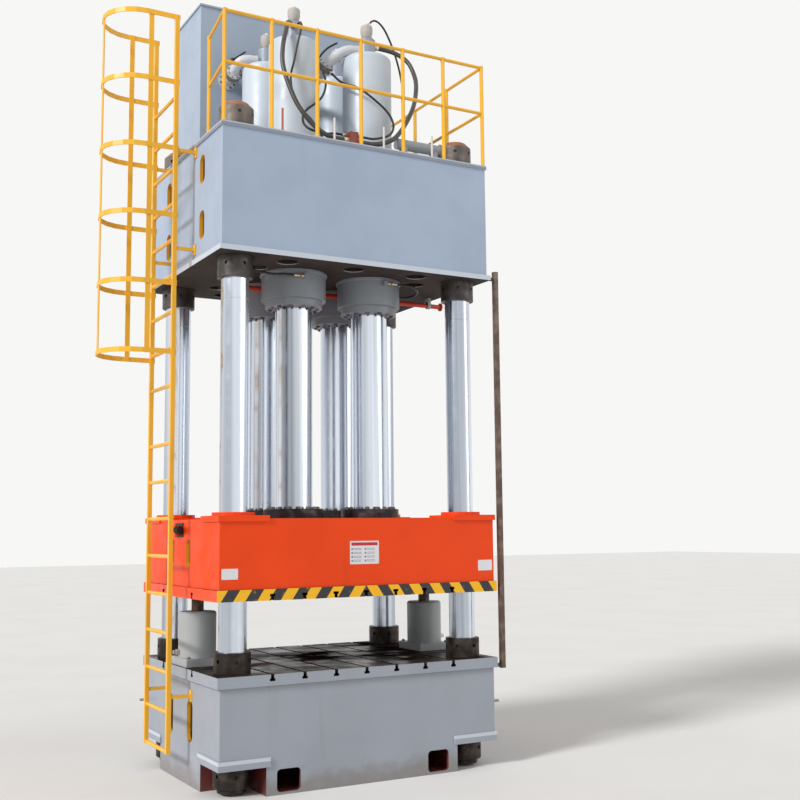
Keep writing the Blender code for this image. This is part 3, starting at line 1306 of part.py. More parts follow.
def make_upper_ladder():
    low_z = SPLICE_Z + SEAT_GAP / 2
    ladder = add_part("ladder_upper", stile_boxes(low_z, LADDER_TOP_Z), YELLOW_PAINT)
    for z in CROWN_BRACKET_ZS:
        add_brackets(ladder, -CROWN_WIDTH / 2, z)
    outline = hoop_outline()
    for index in range(HOOPS):
        z = HOOP_LOW_Z + index * HOOP_PITCH
        fuse(ladder, "hoop", prism(outline, HOOP_HEIGHT, Matrix.Translation((LADDER_X, LADDER_Y, z))))
    fuse(ladder, "cage_strips", cage_strips())
    fuse(ladder, "rungs", rung_rods(UPPER_FIRST_RUNG_Z, UPPER_RUNGS))


# Position rail

def make_position_rail():
    leg, thickness = GAUGE_LEG, GAUGE_THICKNESS
    outline = ((0, 0), (leg, 0), (leg, thickness), (thickness, thickness), (thickness, leg), (0, leg))
    middle_z = (GAUGE_LOW_Z + GAUGE_HIGH_Z) / 2
    place = Matrix.Translation((GAUGE_X, GAUGE_Y, middle_z))
    rail = add_part("position_rail", prism(outline, GAUGE_HIGH_Z - GAUGE_LOW_Z, place), BLACKENED_STEEL)
    arm_y = GAUGE_Y + GAUGE_LEG - GAUGE_ARM_DEPTH
    arm_back = GAUGE_Y + GAUGE_LEG
    arm_x = GAUGE_X + GAUGE_THICKNESS / 2
    arms = []
    for wall_x, z in ((TABLE_WIDTH / 2, TABLE_LOW_Z), (CROWN_BASE_WIDTH / 2, CROWN_LOW_Z)):
        arms.append(((wall_x + SEAT_GAP, arm_y, z + SEAT_GAP), (arm_x, arm_back, z + GAUGE_ARM_HEIGHT)))
    fuse(rail, "arms", boxes(*arms))


# Pressure main and hose block

def make_pressure_main():
    top_z = CROWN_LOW_Z - SEAT_GAP
    inset = MAIN_BEND * MAIN_BEND_CUT_SHARE
    route = (
        (MAIN_LEFT_X, 0, top_z - MAIN_FLANGE_THICKNESS / 2),
        (MAIN_LEFT_X, 0, MAIN_Z + MAIN_BEND),
        (MAIN_LEFT_X + inset, 0, MAIN_Z + inset),
        (MAIN_LEFT_X + MAIN_BEND, 0, MAIN_Z),
        (MAIN_RIGHT_X - MAIN_FLANGE_THICKNESS / 2, 0, MAIN_Z),
    )
    main = add_part("pressure_main", tube_mesh([Vector(point) for point in route], MAIN_RADIUS, 2), RED_PAINT)
    fuse(main, "seat_flange", upright_rods(
        VALVE_SIDES, MAIN_FLANGE_RADIUS, ((MAIN_LEFT_X, 0),), top_z - MAIN_FLANGE_THICKNESS, top_z))
    fuse(main, "end_flange", rods(
        VALVE_SIDES, MAIN_FLANGE_RADIUS,
        ((MAIN_RIGHT_X - MAIN_FLANGE_THICKNESS, 0, MAIN_Z), (MAIN_RIGHT_X, 0, MAIN_Z))))
    fuse(main, "hanger", boxes(
        ((MAIN_HANGER_X - MAIN_HANGER_WIDTH / 2, -MAIN_FLANGE_RADIUS, MAIN_Z - MAIN_FLANGE_RADIUS),
         (MAIN_HANGER_X + MAIN_HANGER_WIDTH / 2, MAIN_FLANGE_RADIUS, top_z))))


def make_hose_block():
    low_z = DECK_Z + SEAT_GAP
    half_x, half_y = BLOCK_WIDTH / 2, BLOCK_DEPTH / 2
    corner = (BLOCK_X - half_x, BLOCK_Y - half_y, low_z)
    opposite = (BLOCK_X + half_x, BLOCK_Y + half_y, low_z + BLOCK_HEIGHT)
    block = add_part("hose_block", boxes((corner, opposite)), RED_PAINT)
    for hose in ("hose_left_thick", "hose_right_thick", "hose_middle", "hose_middle_left"):
        fuse_fitting(block, hose, -1)


def make_hoses():
    for name, (radius, points) in HOSE_ROUTES.items():
        route = smooth_route(points, 2 * radius * HOSE_SPACING_DIAMETERS)
        hose = bpy.data.objects.new(name, tube_curve(name, route, radius, HOSE_RESOLUTION))
        PARTS.objects.link(hose)
        hose.data.materials.append(HOSE_RUBBER)


make_bed()
make_table()
make_crown()
make_columns()
make_cylinders()
make_suction_pipes()
make_slide()
make_slide_plate()
make_buffer("left", -BUFFER_X)
make_buffer("right", BUFFER_X)
make_tank()
make_railing()
make_lower_ladder()
make_upper_ladder()
make_position_rail()
make_pressure_main()
make_hose_block()
make_hoses()
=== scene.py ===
# Looks of the four-column hydraulic press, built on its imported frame.
# Metres, +Z up. +X is the right of the press as seen from the front, +Y is its back.

import math

import bmesh
import bpy
from mathutils import Matrix, Vector


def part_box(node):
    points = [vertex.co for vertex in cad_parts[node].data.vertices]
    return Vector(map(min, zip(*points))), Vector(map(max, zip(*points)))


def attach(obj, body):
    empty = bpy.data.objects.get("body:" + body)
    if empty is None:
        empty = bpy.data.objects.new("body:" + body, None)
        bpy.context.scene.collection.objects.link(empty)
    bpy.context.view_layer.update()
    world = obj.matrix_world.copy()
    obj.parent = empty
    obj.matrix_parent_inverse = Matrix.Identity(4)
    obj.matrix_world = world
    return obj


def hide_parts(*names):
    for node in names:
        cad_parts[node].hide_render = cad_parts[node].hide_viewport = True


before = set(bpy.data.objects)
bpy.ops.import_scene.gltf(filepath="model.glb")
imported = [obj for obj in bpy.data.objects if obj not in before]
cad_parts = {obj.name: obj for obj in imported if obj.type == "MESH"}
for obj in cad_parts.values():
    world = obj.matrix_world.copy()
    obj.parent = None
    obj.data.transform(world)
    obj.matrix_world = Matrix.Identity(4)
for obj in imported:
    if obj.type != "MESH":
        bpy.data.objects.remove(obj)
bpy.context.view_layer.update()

# Camera, from the photograph's vanishing lines and the rung pitch
CAMERA_PLACE = Vector((-4.206, -8.966, 1.970))
CAMERA_YAW_DEG = 29.404
CAMERA_PITCH_DEG = 6.570
CAMERA_ROLL_DEG = -0.565
CAMERA_LENS_MM = 50.62
CAMERA_SENSOR_MM = 36.0

# Lamps and backdrop
WORLD_STRENGTH = 0.54
BACKDROP_COLOUR = (0.93, 0.93, 0.92)
FLOOR_COLOUR = (0.80, 0.79, 0.77)
FLOOR_ROUGHNESS = 0.85
FLOOR_HALF_SIZE = 60.0
SUN_STRENGTH = 2.55
SUN_ANGLE_DEG = 12.0
SUN_FROM = Vector((-0.92, -0.25, 0.55))
FILL_STRENGTH = 0.45
FILL_ANGLE_DEG = 40.0
FILL_FROM = Vector((0.75, -0.60, 0.35))

# Edges that many pieces share
SMOOTH_SIDES = 64
QUARTER_STEPS = 6
EDGE = 0.003
RING_EDGE = 0.004
BORE_EDGE = 0.006
SUNK = 0.001

# Columns and nuts
NUT_LOW, NUT_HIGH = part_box("table_nut_front_left")
NUT_RADIUS = (NUT_HIGH.y - NUT_LOW.y) / 2
NUT_GAP = 0.0003
NUT_EDGE = 0.002
NUT_CHAMFER = 0.010
TOP_NUT_CHAMFER = 0.030
TOP_NUT_TOP_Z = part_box("top_nut_front_left")[1].z
FOOT_NUT_LOW_Z = 0.0547
FOOT_NUT_HIGH_Z = 0.2147
TOMMY_HOLES = 6
TOMMY_RADIUS = 0.015
TOMMY_DEPTH = 0.018
TOMMY_HEIGHT_SHARE = 0.60
COLUMN_RADIUS = 0.110
COLUMN_CHAMFER = 0.010
SEAM_Z = 3.790
SEAM_DEPTH = 0.0015
SEAM_HALF_HEIGHT = 0.0020

# Bed, table, slide and crown
NOTCH_TOP_Z = 0.2155
CORNER_PLATE_TOP_Z = 0.285
# Height of the painted highlight band at the top of the corner plates
CORNER_PLATE_HIGHLIGHT = 0.026
BED_INSIDE_X = 1.2130
BED_INSIDE_Y = 0.9080
TABLE_TOP_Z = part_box("table_plate")[1].z
SLIDE_PLATE_LOW, SLIDE_PLATE_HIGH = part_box("slide_plate")
SLIDE_INSIDE_X = 1.2280
SLIDE_INSIDE_Y = 0.9130
SLIDE_WALL_OUT = 0.002
SLIDE_TOP_Z = 2.066
SLIDE_FRONT_Y = -0.915
CROWN_LOW_Z = 4.134
CROWN_BASE_TOP_Z = 4.176
CROWN_INSIDE_X = 1.2230
CROWN_INSIDE_Y = 0.8980
DECK_LOW_Z = 5.135
DECK_Z = 5.170
# Depth of the painted highlight along the deck's top edge
DECK_HIGHLIGHT_DEPTH = 0.010
PINS_BACK_Y = -0.860
RAIL_EDGE = 0.010

# Cylinders, glands and plungers
CYLINDER_LOW_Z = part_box("main_cylinder_front_left")[0].z
BARREL_TOP_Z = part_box("main_cylinder_front_left")[1].z
CYLINDER_SPAN_X = 0.720
CYLINDER_SPAN_Y = 0.620
CYLINDER_RADIUS = 0.274
CYLINDER_BORE = 0.160
COLLAR_RADIUS = 0.286
COLLAR_HEIGHT = 0.022
BARREL_RADIUS = 0.220
BARREL_SHOULDER = 0.045
BARREL_ROOF = 0.180
BORE_TOP_Z = BARREL_TOP_Z - BARREL_ROOF
CYLINDER_LUG_X = 0.375
CYLINDER_LUG_SIZE = 0.040
PLUNGER_RADIUS = 0.158
PLUNGER_CHAMFER = 0.012
PLUNGER_SUNK = 0.010
GLAND_RADIUS = 0.242
GLAND_CLEARANCE = 0.0006
GLAND_BOLTS = 12
GLAND_BOLT_SIZE = (0.015, 0.016)
FLANGE_RADIUS = 0.250
FLANGE_HEIGHT = 0.080
FLANGE_BOLTS = 16
FLANGE_BOLT_SIZE = (0.017, 0.020)

# Valves on the cylinders
VALVE_NECK_RADIUS = 0.079
VALVE_NECK_HEIGHT = 0.180
NECK_EDGE = 0.006
VALVE_STEM_RADIUS = 0.030
VALVE_STEM_HEIGHT = 0.012
VALVE_BOLTS_OUT = 0.006
RING_BOLTS = 8
LARGE_BOLT_SIZE = (0.008, 0.010)
SMALL_BOLT_SIZE = (0.006, 0.008)
BULB_RADIUS = 0.055
BULB_HEIGHT = 0.130
BULB_CAP_RADIUS = 0.014
BULB_CAP_HEIGHT = 0.022
BULB_PROFILE_SHARES = (
    (0.66, 0.00), (0.72, 0.05), (0.86, 0.20), (0.97, 0.40), (1.00, 0.46),
    (1.00, 0.80), (0.96, 0.88), (0.84, 0.95), (0.62, 0.985), (0.30, 1.00))

# Suction pipes and their valves
PORT_REACH = 0.100
PORT_RADIUS = 0.045
PORT_HEIGHT = 0.055
PIPE_RADIUS = 0.046
PIPE_SPACING = 0.020
PIPE_FLANGE_RADIUS = 0.052
PIPE_FLANGE_THICKNESS = 0.012
TANK_FRONT_Y = 0.620
TANK_FLANGE_RADIUS = 0.085
TANK_BOLTS_OUT = 0.004
WAFER_RADIUS = 0.080
WAFER_THICKNESS = 0.048
WAFER_SIDES = 48
WAFER_LIP = 0.008
WAFER_BOLTS_OUT = 0.002
WAFER_STEM_RADIUS = 0.012
WAFER_STEM_HEIGHT = 0.045
WAFER_COLLAR_RADIUS = 0.022
WAFER_COLLAR_SHARE = 0.55
LEFT_DROP = 0.090
LEFT_REACH = 0.165
LEFT_ROUTE_SHARES = (
    (0.04, 0.00, 0.00), (0.40, 0.01, 0.00), (0.80, 0.10, 0.15), (0.97, 0.28, 0.60), (1.00, 0.50, 1.00),
    (1.00, 0.98, 1.20))
LEFT_VALVE_POINT = 4
RIGHT_DROP = 0.295
RIGHT_REACH = 0.300
RIGHT_ROUTE_SHARES = (
    (0.02, 0.00, 0.00), (0.20, 0.00, 0.00), (0.50, 0.03, 0.12), (0.90, 0.12, 0.52), (1.00, 0.22, 0.82),
    (1.00, 0.36, 1.00), (1.00, 0.60, 1.00), (1.00, 0.99, 1.00))
RIGHT_VALVE_POINT = 3
LEVER_HUB_RADIUS = 0.020
LEVER_HUB_HEIGHT = 0.024
LEVER_RADIUS = 0.009
LEVER_SPACING = 0.012
RIGHT_LEVER_HUB = Vector((-0.03612, -0.11835, 6.19947))
RIGHT_LEVER_AXIS = Vector((-0.206084, 0.638862, 0.741205))
RIGHT_LEVER_OFFSETS = (
    (0, 0, 0), (0.012, -0.014, 0.012), (0.040, -0.030, 0.055), (0.085, -0.045, 0.105), (0.150, -0.060, 0.150),
    (0.168, -0.064, 0.160))

# Pressure main under the crown
MAIN_RADIUS = 0.021
MAIN_Z = 4.062
MAIN_LEFT_X = -0.780
MAIN_RIGHT_X = 1.300
MAIN_BEND = 0.045
MAIN_FLANGE_RADIUS = 0.038
MAIN_FLANGE_THICKNESS = 0.012
MAIN_HANGER_X = 1.160
MAIN_HANGER_WIDTH = 0.030
HANGER_RADIUS = 0.030

# Buffers on the table
BUFFER_X = 1.075
BUFFER_RADIUS = 0.153
BUFFER_CHAMFER = 0.012
BUFFER_CLEARANCE = 0.001
BUFFER_WELD_HEIGHT = 0.008
BUFFER_WELD_OUT = 0.007
BUFFER_PAD_WIDTH = 0.310
BUFFER_PAD_DEPTH = 0.380
BUFFER_PAD_HEIGHT = 0.066
BUFFER_BOLT_INSET = 0.028
BUFFER_BOLT_SIZE = (0.013, 0.016)
BUFFER_ROD_RADIUS = 0.050
BUFFER_PORT_RISE = 0.111
BUFFER_PORT_RADIUS = 0.016
BUFFER_PORT_REACH = 0.050
BUFFER_PORT_SUNK = 0.010
BUFFER_PORT_NUT_RADIUS = 0.022
BUFFER_PORT_NUT_GAP = 0.004
BUFFER_PORT_NUT_BACK = 0.022

# Hoses and their fittings
THICK_HOSE = 0.020
MIDDLE_HOSE = 0.010
THIN_HOSE = 0.009
HOSE_SPACING_DIAMETERS = 1.0
HOSE_RESOLUTION = 4
FITTING_OVERSIZE = 0.0036
FITTING_DEPTH = 0.050
CYLINDER_FITTING_DEPTH = 0.112
COLLAR_OVERSIZE = 0.0075
COLLAR_LENGTH = 0.018
COLLAR_PLACE_SHARE = 0.45

CORNERS = (
    ("front_left", -1, -1),
    ("front_right", 1, -1),
    ("back_left", -1, 1),
    ("back_right", 1, 1),
)

# Each route is a list of points in metres, from the fitting it leaves to the one it meets.
HOSE_ROUTES = {
    "hose_left_thick": (
        THICK_HOSE,
        ((-0.422, -0.393, 6.335), (-0.440, -0.417, 6.335), (-0.498, -0.494, 6.295),
         (-0.532, -0.535, 6.199), (-0.572, -0.565, 6.050), (-0.588, -0.600, 5.860),
         (-0.548, -0.660, 5.640), (-0.485, -0.720, 5.458), (-0.377, -0.795, 5.290),
         (-0.250, -0.830, 5.212), (-0.138, -0.830, 5.212))),
    "hose_left_thin": (
        THIN_HOSE,
        ((-0.375, -0.424, 6.335), (-0.375, -0.460, 6.335), (-0.383, -0.515, 6.305),
         (-0.402, -0.555, 6.230), (-0.435, -0.565, 6.100), (-0.469, -0.565, 5.938),
         (-0.501, -0.565, 5.757), (-0.460, -0.600, 5.550), (-0.350, -0.660, 5.400),
         (-0.275, -0.700, 5.260), (-0.275, -0.700, 5.210))),
    "hose_right_thick": (
        THICK_HOSE,
        ((0.475, -0.310, 6.335), (0.550, -0.310, 6.335), (0.655, -0.335, 6.310),
         (0.740, -0.400, 6.220), (0.766, -0.480, 6.050), (0.733, -0.550, 5.887),
         (0.660, -0.620, 5.700), (0.536, -0.690, 5.500), (0.395, -0.760, 5.335),
         (0.244, -0.810, 5.245), (0.120, -0.830, 5.212), (0.028, -0.830, 5.212))),
    "hose_right_thin": (
        THIN_HOSE,
        ((0.392, -0.307, 6.553), (0.410, -0.305, 6.577), (0.445, -0.298, 6.600),
         (0.495, -0.285, 6.600), (0.560, -0.262, 6.570), (0.630, -0.230, 6.505),
         (0.695, -0.205, 6.410), (0.745, -0.200, 6.280), (0.779, -0.200, 6.137),
         (0.805, -0.200, 5.948), (0.800, -0.200, 5.656), (0.770, -0.200, 5.380),
         (0.760, -0.200, 5.260), (0.760, -0.200, 5.210))),
    "hose_middle": (
        MIDDLE_HOSE,
        ((0.035, -0.259, 6.027), (0.0494, -0.2783, 6.0016), (0.060, -0.360, 5.930),
         (0.080, -0.450, 5.870), (0.150, -0.550, 5.815), (0.275, -0.620, 5.703), (0.383, -0.660, 5.591),
         (0.414, -0.700, 5.474), (0.366, -0.740, 5.375), (0.270, -0.785, 5.312),
         (0.130, -0.830, 5.260), (0.028, -0.830, 5.260))),
    "hose_middle_left": (
        MIDDLE_HOSE,
        ((-0.055, -0.274, 6.042), (-0.0694, -0.2983, 6.0213), (-0.104, -0.420, 5.846),
         (-0.182, -0.520, 5.691), (-0.275, -0.570, 5.590), (-0.357, -0.575, 5.518),
         (-0.404, -0.600, 5.446), (-0.425, -0.660, 5.358), (-0.400, -0.710, 5.301),
         (-0.336, -0.740, 5.275), (-0.260, -0.765, 5.263), (-0.200, -0.805, 5.262),
         (-0.138, -0.805, 5.262))),
    "hose_cylinder_left": (
        MIDDLE_HOSE,
        ((-0.487, -0.600, 4.070), (-0.560, -0.600, 4.070), (-0.680, -0.595, 4.060),
         (-0.800, -0.590, 4.070), (-0.864, -0.590, 4.070))),
    "hose_cylinder_right": (
        MIDDLE_HOSE,
        ((0.487, -0.600, 4.085), (0.560, -0.600, 4.085), (0.660, -0.580, 4.082),
         (0.740, -0.515, 4.070), (0.780, -0.430, 4.055), (0.765, -0.350, 4.045),
         (0.715, -0.310, 4.040), (0.665, -0.310, 4.040))),
}

# Colours as they show in plain light, red, green and blue from 0 to 255
CROWN_GREY = (160, 175, 196)
BED_GREY = (152, 158, 168)
CYLINDER_GREY = (138, 144, 151)
DECK_PIPE_GREY = (156, 160, 166)
BARREL_WHITE = (196, 206, 216)
TANK_GREY = (160, 174, 192)
SLIDE_ORANGE = (236, 68, 0)
SAFETY_YELLOW = (242, 180, 44)
STRIPE_YELLOW = (244, 184, 22)
STRIPE_BLACK = (48, 48, 52)
PRIMER_RED = (112, 52, 48)
PIPE_RED = (206, 58, 30)
# Oil and painted shade: a very dark brown for the crown's underside, which also stands for the shade under it
UNDERSIDE_OIL_AND_SHADE = (44, 36, 30)
OILY_BROWN = (38, 30, 24)
RUST = (120, 66, 34)
# Painted reflections on the chrome: a bright bluish tone, and the dark tones that it is mixed with
CHROME_REFLECTION_BRIGHT = (234, 241, 252)
COLUMN_REFLECTION_DARK = (166, 173, 185)
CHROME_REFLECTION_DARK = (140, 145, 152)
END_RUST = (176, 104, 60)
NUT_TONE = (44, 39, 36)
LOWER_NUT_TONE = (60, 56, 54)
BULB_BEIGE = (192, 187, 181)
PLATE_WHITE = (222, 222, 226)
PLATE_RED = (190, 36, 48)
BUFFER_GREY = (164, 167, 169)
NECK_GREY = (148, 157, 170)
TOP_NUT_TONE = (96, 90, 86)
# Painted highlight: a pale grey put on edges of the crown and the bed where light catches them
PAINTED_HIGHLIGHT_GREY = (206, 212, 220)
DECK_EDGE_GREY = (120, 123, 132)
RAIL_CREAM = (206, 196, 172)
PRIMER_DARK = (84, 44, 42)
CAP_WHITE = (226, 226, 222)
CROWN_DIRT = (110, 104, 98)
BED_DIRT = (100, 90, 78)
SLIDE_DIRT = (150, 44, 20)
# Paler patches of the same oily brown and painted shade
UNDERSIDE_OIL_AND_SHADE_PALE = (58, 50, 45)
OILY_PALE = (68, 56, 45)
OIL_FILM = (150, 146, 140)
SPLASH_BROWN = (118, 104, 88)
PIN_WHITE = (214, 210, 204)
PIN_RUST = (176, 92, 52)
STRIPE_WORN = (196, 150, 60)
END_RUST_DARK = (150, 92, 58)
TOP_NUT_PALE = (124, 114, 106)
RAIL_BROWN = (88, 72, 62)
RAIL_PALE = (122, 106, 92)
BULB_SHADE = (112, 100, 90)

# How strongly the looks show, and where they start
EDGE_HIGHLIGHT_SHARE = 0.75
DECK_EDGE_SHARE = 0.70
DECK_TOP_HIGHLIGHT_SHARE = 0.60
RAIL_EDGE_SHARE = 0.85
WIDE_REFLECTION_SHARE = 0.78
UNDERSIDE_ROUGHNESS = 0.9
SLIDE_GLOSS = 0.28
PAINT_GLOSS = 0.4
WET_SMOOTHNESS = 0.55
RUSTY_PIN_MAX_X = -0.5
FACE_MARGIN = 0.005
LIP_MARGIN = 0.004
SPLASH_LOW = -0.13
SPLASH_HIGH = 0.05
SPLASH_SHARE = 0.55
SPLASH_RAGGEDNESS = 0.30
RIM_RAGGEDNESS = 0.016
RIM_SHARE = 0.85
RIM_FROM = 0.024
RIM_FULL = 0.010
GRAIN_UP = 900.0
GRAIN_ACROSS = 700.0

# Warning bars on the slide plate's front edge
STRIPE_SLOPE = 0.663
STRIPE_FIRST_X = 0.0995
STRIPE_PITCH = 0.1935
STRIPE_BLACK_SHARE = 0.504


# Node materials

PLAIN = (1.0, 1.0, 1.0)
DOWN_RUNS = (1.0, 1.0, 0.10)
MASK_MARGIN = 0.001
EDGE_MARGIN = 0.0012
DOWNWARD = -0.5


def linear(colour):
    # Shader colours are linear, while a picture's are not.
    made = []
    for value in colour:
        share = value / 255
        made.append(share / 12.92 if share <= 0.04045 else ((share + 0.055) / 1.055) ** 2.4)
    return (*made, 1.0)


class Tree:
    """A node tree, with short calls for its nodes and links."""

    def __init__(self, tree):
        self.nodes, self.links = tree.nodes, tree.links

    def put(self, socket, value):
        if isinstance(value, bpy.types.NodeSocket):
            self.links.new(value, socket)
        else:
            socket.default_value = value

    def node(self, kind, *values, **named):
        # A new node, its sockets set or linked in order or by name.
        made = self.nodes.new("ShaderNode" + kind)
        for socket, value in zip(made.inputs, values):
            self.put(socket, value)
        for name, value in named.items():
            self.put(made.inputs[name.replace("_", " ")], value)
        return made

    def math(self, operation, *values):
        node = self.node("Math", *values)
        node.operation = operation
        return node.outputs[0]


class Look(Tree):
    """One node material, with short calls for what its pattern needs."""

    def __init__(self, name, metallic=0.0):
        self.material = bpy.data.materials.new(name)
        self.material.use_nodes = True
        super().__init__(self.material.node_tree)
        self.shader = self.nodes["Principled BSDF"]
        self.put(self.shader.inputs["Metallic"], metallic)
        self.place = self.node("TexCoord").outputs["Object"]
        self.normal = self.node("NewGeometry").outputs["True Normal"]
        self.split = {}

    def axis(self, letter, source=None):
        # One coordinate of the place on the object, or of the source that is given.
        source = source or self.place
        key = (source.node.name, source.name)
        if key not in self.split:
            self.split[key] = self.node("SeparateXYZ", source)
        return self.split[key].outputs[letter]

    def above(self, value, limit):
        return self.math("GREATER_THAN", value, limit)

    def below(self, value, limit):
        return self.math("LESS_THAN", value, limit)

    def both(self, first, *others):
        for other in others:
            first = self.math("MULTIPLY", first, other)
        return first

    def apart_from(self, share):
        return self.math("SUBTRACT", 1.0, share)

    def inside(self, half_x, half_y):
        # 1 behind the outer walls of a box about the middle.
        x, y = (self.math("ABSOLUTE", self.axis(letter)) for letter in "XY")
        return self.both(self.below(x, half_x), self.below(y, half_y))

    def noise(self, scale, detail, stretch=PLAIN):
        place = self.node("Mapping", Vector=self.place, Scale=stretch).outputs[0]
        return self.node("TexNoise", Vector=place, Scale=scale, Detail=detail).outputs["Fac"]

    def span(self, value, low, high, least=0.0, most=1.0):
        # The value from low to high, eased onto least to most.
        node = self.node(
            "MapRange", Value=value, From_Min=low, From_Max=high, To_Min=least, To_Max=most)
        node.interpolation_type = "SMOOTHSTEP"
        return node.outputs["Result"]

    def patches(self, scale, detail, low, high, least=0.0, most=1.0, stretch=PLAIN):
        return self.span(self.noise(scale, detail, stretch), low, high, least, most)

    def sheen(self, smooth, rough, scale=6.0, detail=4.0):
        return self.patches(scale, detail, low=0.35, high=0.65, least=smooth, most=rough)

    def mix(self, share, under, over):
        node = self.node("Mix", Factor=share)
        node.data_type = "RGBA"
        for socket, colour in ((node.inputs[6], under), (node.inputs[7], over)):
            self.put(socket, linear(colour) if isinstance(colour, tuple) else colour)
        return node.outputs[2]

    def shade(self, value, colour):
        node = self.node("VectorMath", colour[:3])
        node.operation = "SCALE"
        self.put(node.inputs["Scale"], value)
        return node.outputs[0]

    def bump(self, height, distance, strength):
        node = self.node("Bump", Distance=distance, Strength=strength, Height=height)
        self.put(self.shader.inputs["Normal"], node.outputs["Normal"])

    def gloss(self, level):
        self.put(self.shader.inputs["Specular IOR Level"], level)

    def finish(self, colour, roughness):
        self.put(self.shader.inputs["Base Color"], colour)
        self.put(self.shader.inputs["Roughness"], roughness)
        return self.material


def paint_tone(look, base, dirt, low=0.60, high=0.78):
    """Machine paint: cloudy tone, faint runs down the walls and specks of dirt."""
    cloud = look.patches(scale=1.7, detail=4.0, low=0.35, high=0.65, least=0.955, most=1.035)
    colour = look.shade(cloud, linear(base))
    runs = look.patches(scale=9.0, detail=3.0, low=low, high=high, most=0.10, stretch=DOWN_RUNS)
    colour = look.mix(runs, colour, dirt)
    specks = look.patches(scale=120.0, detail=2.0, low=0.70, high=0.78, most=0.35)
    return look.mix(specks, colour, dirt)


def paint_finish(look, colour, smooth=0.34, rough=0.50, dull_parts=None):
    look.bump(look.noise(scale=55.0, detail=3.0), distance=0.0006, strength=0.35)
    roughness = look.sheen(smooth, rough)
    if dull_parts:
        roughness = look.math("MAXIMUM", roughness, dull_parts)
    return look.finish(colour, roughness)


def machine_paint(name, base, dirt, smooth=0.34, rough=0.50):
    look = Look(name)
    return paint_finish(look, paint_tone(look, base, dirt), smooth, rough)


def crown_paint():
    """Grey enamel, painted highlights on the base plate and deck top, yellow cells, an oily underside and
    holes in painted shade, and pins and a pipe on the deck.
    """
    look = Look("crown_paint")
    height = look.axis("Z")
    inner = look.inside(CROWN_INSIDE_X, CROWN_INSIDE_Y)
    colour = paint_tone(look, CROWN_GREY, CROWN_DIRT)
    # Painted highlight: the base plate's outer faces are made pale, standing for the light line along the
    # crown's lower edge
    base_edge = look.below(height, CROWN_BASE_TOP_Z + MASK_MARGIN)
    colour = look.mix(look.both(base_edge, EDGE_HIGHLIGHT_SHARE), colour, PAINTED_HIGHLIGHT_GREY)
    deck_edge = look.above(height, DECK_LOW_Z)
    colour = look.mix(look.both(deck_edge, DECK_EDGE_SHARE), colour, DECK_EDGE_GREY)
    # Painted highlight: the deck's top face and a strip along its top edge are made pale, as if lit
    deck_top_highlight = look.above(height, DECK_Z - DECK_HIGHLIGHT_DEPTH)
    colour = look.mix(look.both(deck_top_highlight, DECK_TOP_HIGHLIGHT_SHARE), colour, PAINTED_HIGHLIGHT_GREY)
    between_plates = look.both(
        look.above(height, CROWN_BASE_TOP_Z - MASK_MARGIN), look.below(height, DECK_LOW_Z - MASK_MARGIN))
    colour = look.mix(look.both(inner, between_plates), colour, SAFETY_YELLOW)
    # Oil and painted shade: faces that look down under the crown get a very dark oily brown, which also
    # stands for the shade there
    low_face = CROWN_LOW_Z + FACE_MARGIN
    facing_down = look.below(look.axis("Z", look.normal), DOWNWARD)
    underside = look.both(facing_down, look.below(height, low_face))
    oily = look.patches(scale=3.0, detail=5.0, low=0.40, high=0.62)
    colour = look.mix(underside, colour, look.mix(oily, UNDERSIDE_OIL_AND_SHADE, UNDERSIDE_OIL_AND_SHADE_PALE))
    # Painted shade: the walls of the holes through the base plate get the same dark brown, standing for the
    # shade inside them
    hole = look.both(base_edge, look.above(height, low_face), inner)
    colour = look.mix(hole, colour, UNDERSIDE_OIL_AND_SHADE)
    above_deck = look.above(height, DECK_Z + FACE_MARGIN)
    at_edge = look.below(look.axis("Y"), PINS_BACK_Y)
    colour = look.mix(look.both(above_deck, look.apart_from(at_edge)), colour, DECK_PIPE_GREY)
    left_pin = look.below(look.axis("X"), RUSTY_PIN_MAX_X)
    pin_colour = look.mix(left_pin, PIN_WHITE, PIN_RUST)
    colour = look.mix(look.both(above_deck, at_edge), colour, pin_colour)
    return paint_finish(look, colour, dull_parts=look.both(underside, UNDERSIDE_ROUGHNESS))


def bed_paint():
    """Grey enamel with splashes near the floor, brown primer in the notches, yellow inside, and a painted
    highlight along the top of the corner plates' outer lip.
    """
    look = Look("bed_paint")
    height = look.axis("Z")
    inner = look.inside(BED_INSIDE_X, BED_INSIDE_Y)
    colour = paint_tone(look, BED_GREY, BED_DIRT)
    uneven = look.both(look.noise(scale=7.0, detail=4.0), -SPLASH_RAGGEDNESS)
    splash = look.span(look.math("ADD", height, uneven), SPLASH_LOW, SPLASH_HIGH, SPLASH_SHARE, 0.0)
    colour = look.mix(splash, colour, SPLASH_BROWN)
    worn = look.patches(scale=6.0, detail=4.0, low=0.40, high=0.70)
    primer = look.mix(worn, PRIMER_RED, PRIMER_DARK)
    colour = look.mix(look.both(inner, look.below(height, NOTCH_TOP_Z)), colour, primer)
    cell = look.both(inner, look.above(height, CORNER_PLATE_TOP_Z + FACE_MARGIN))
    colour = look.mix(cell, colour, SAFETY_YELLOW)
    # Painted highlight: a pale band along the top of the corner plates' outer faces, standing for light
    # caught by a sloped edge there
    lip = look.apart_from(look.inside(BED_INSIDE_X + LIP_MARGIN, BED_INSIDE_Y + LIP_MARGIN))
    line = look.both(
        look.above(height, CORNER_PLATE_TOP_Z - CORNER_PLATE_HIGHLIGHT),
        look.below(height, CORNER_PLATE_TOP_Z + MASK_MARGIN))
    colour = look.mix(look.both(lip, line, EDGE_HIGHLIGHT_SHARE), colour, PAINTED_HIGHLIGHT_GREY)
    return paint_finish(look, colour)


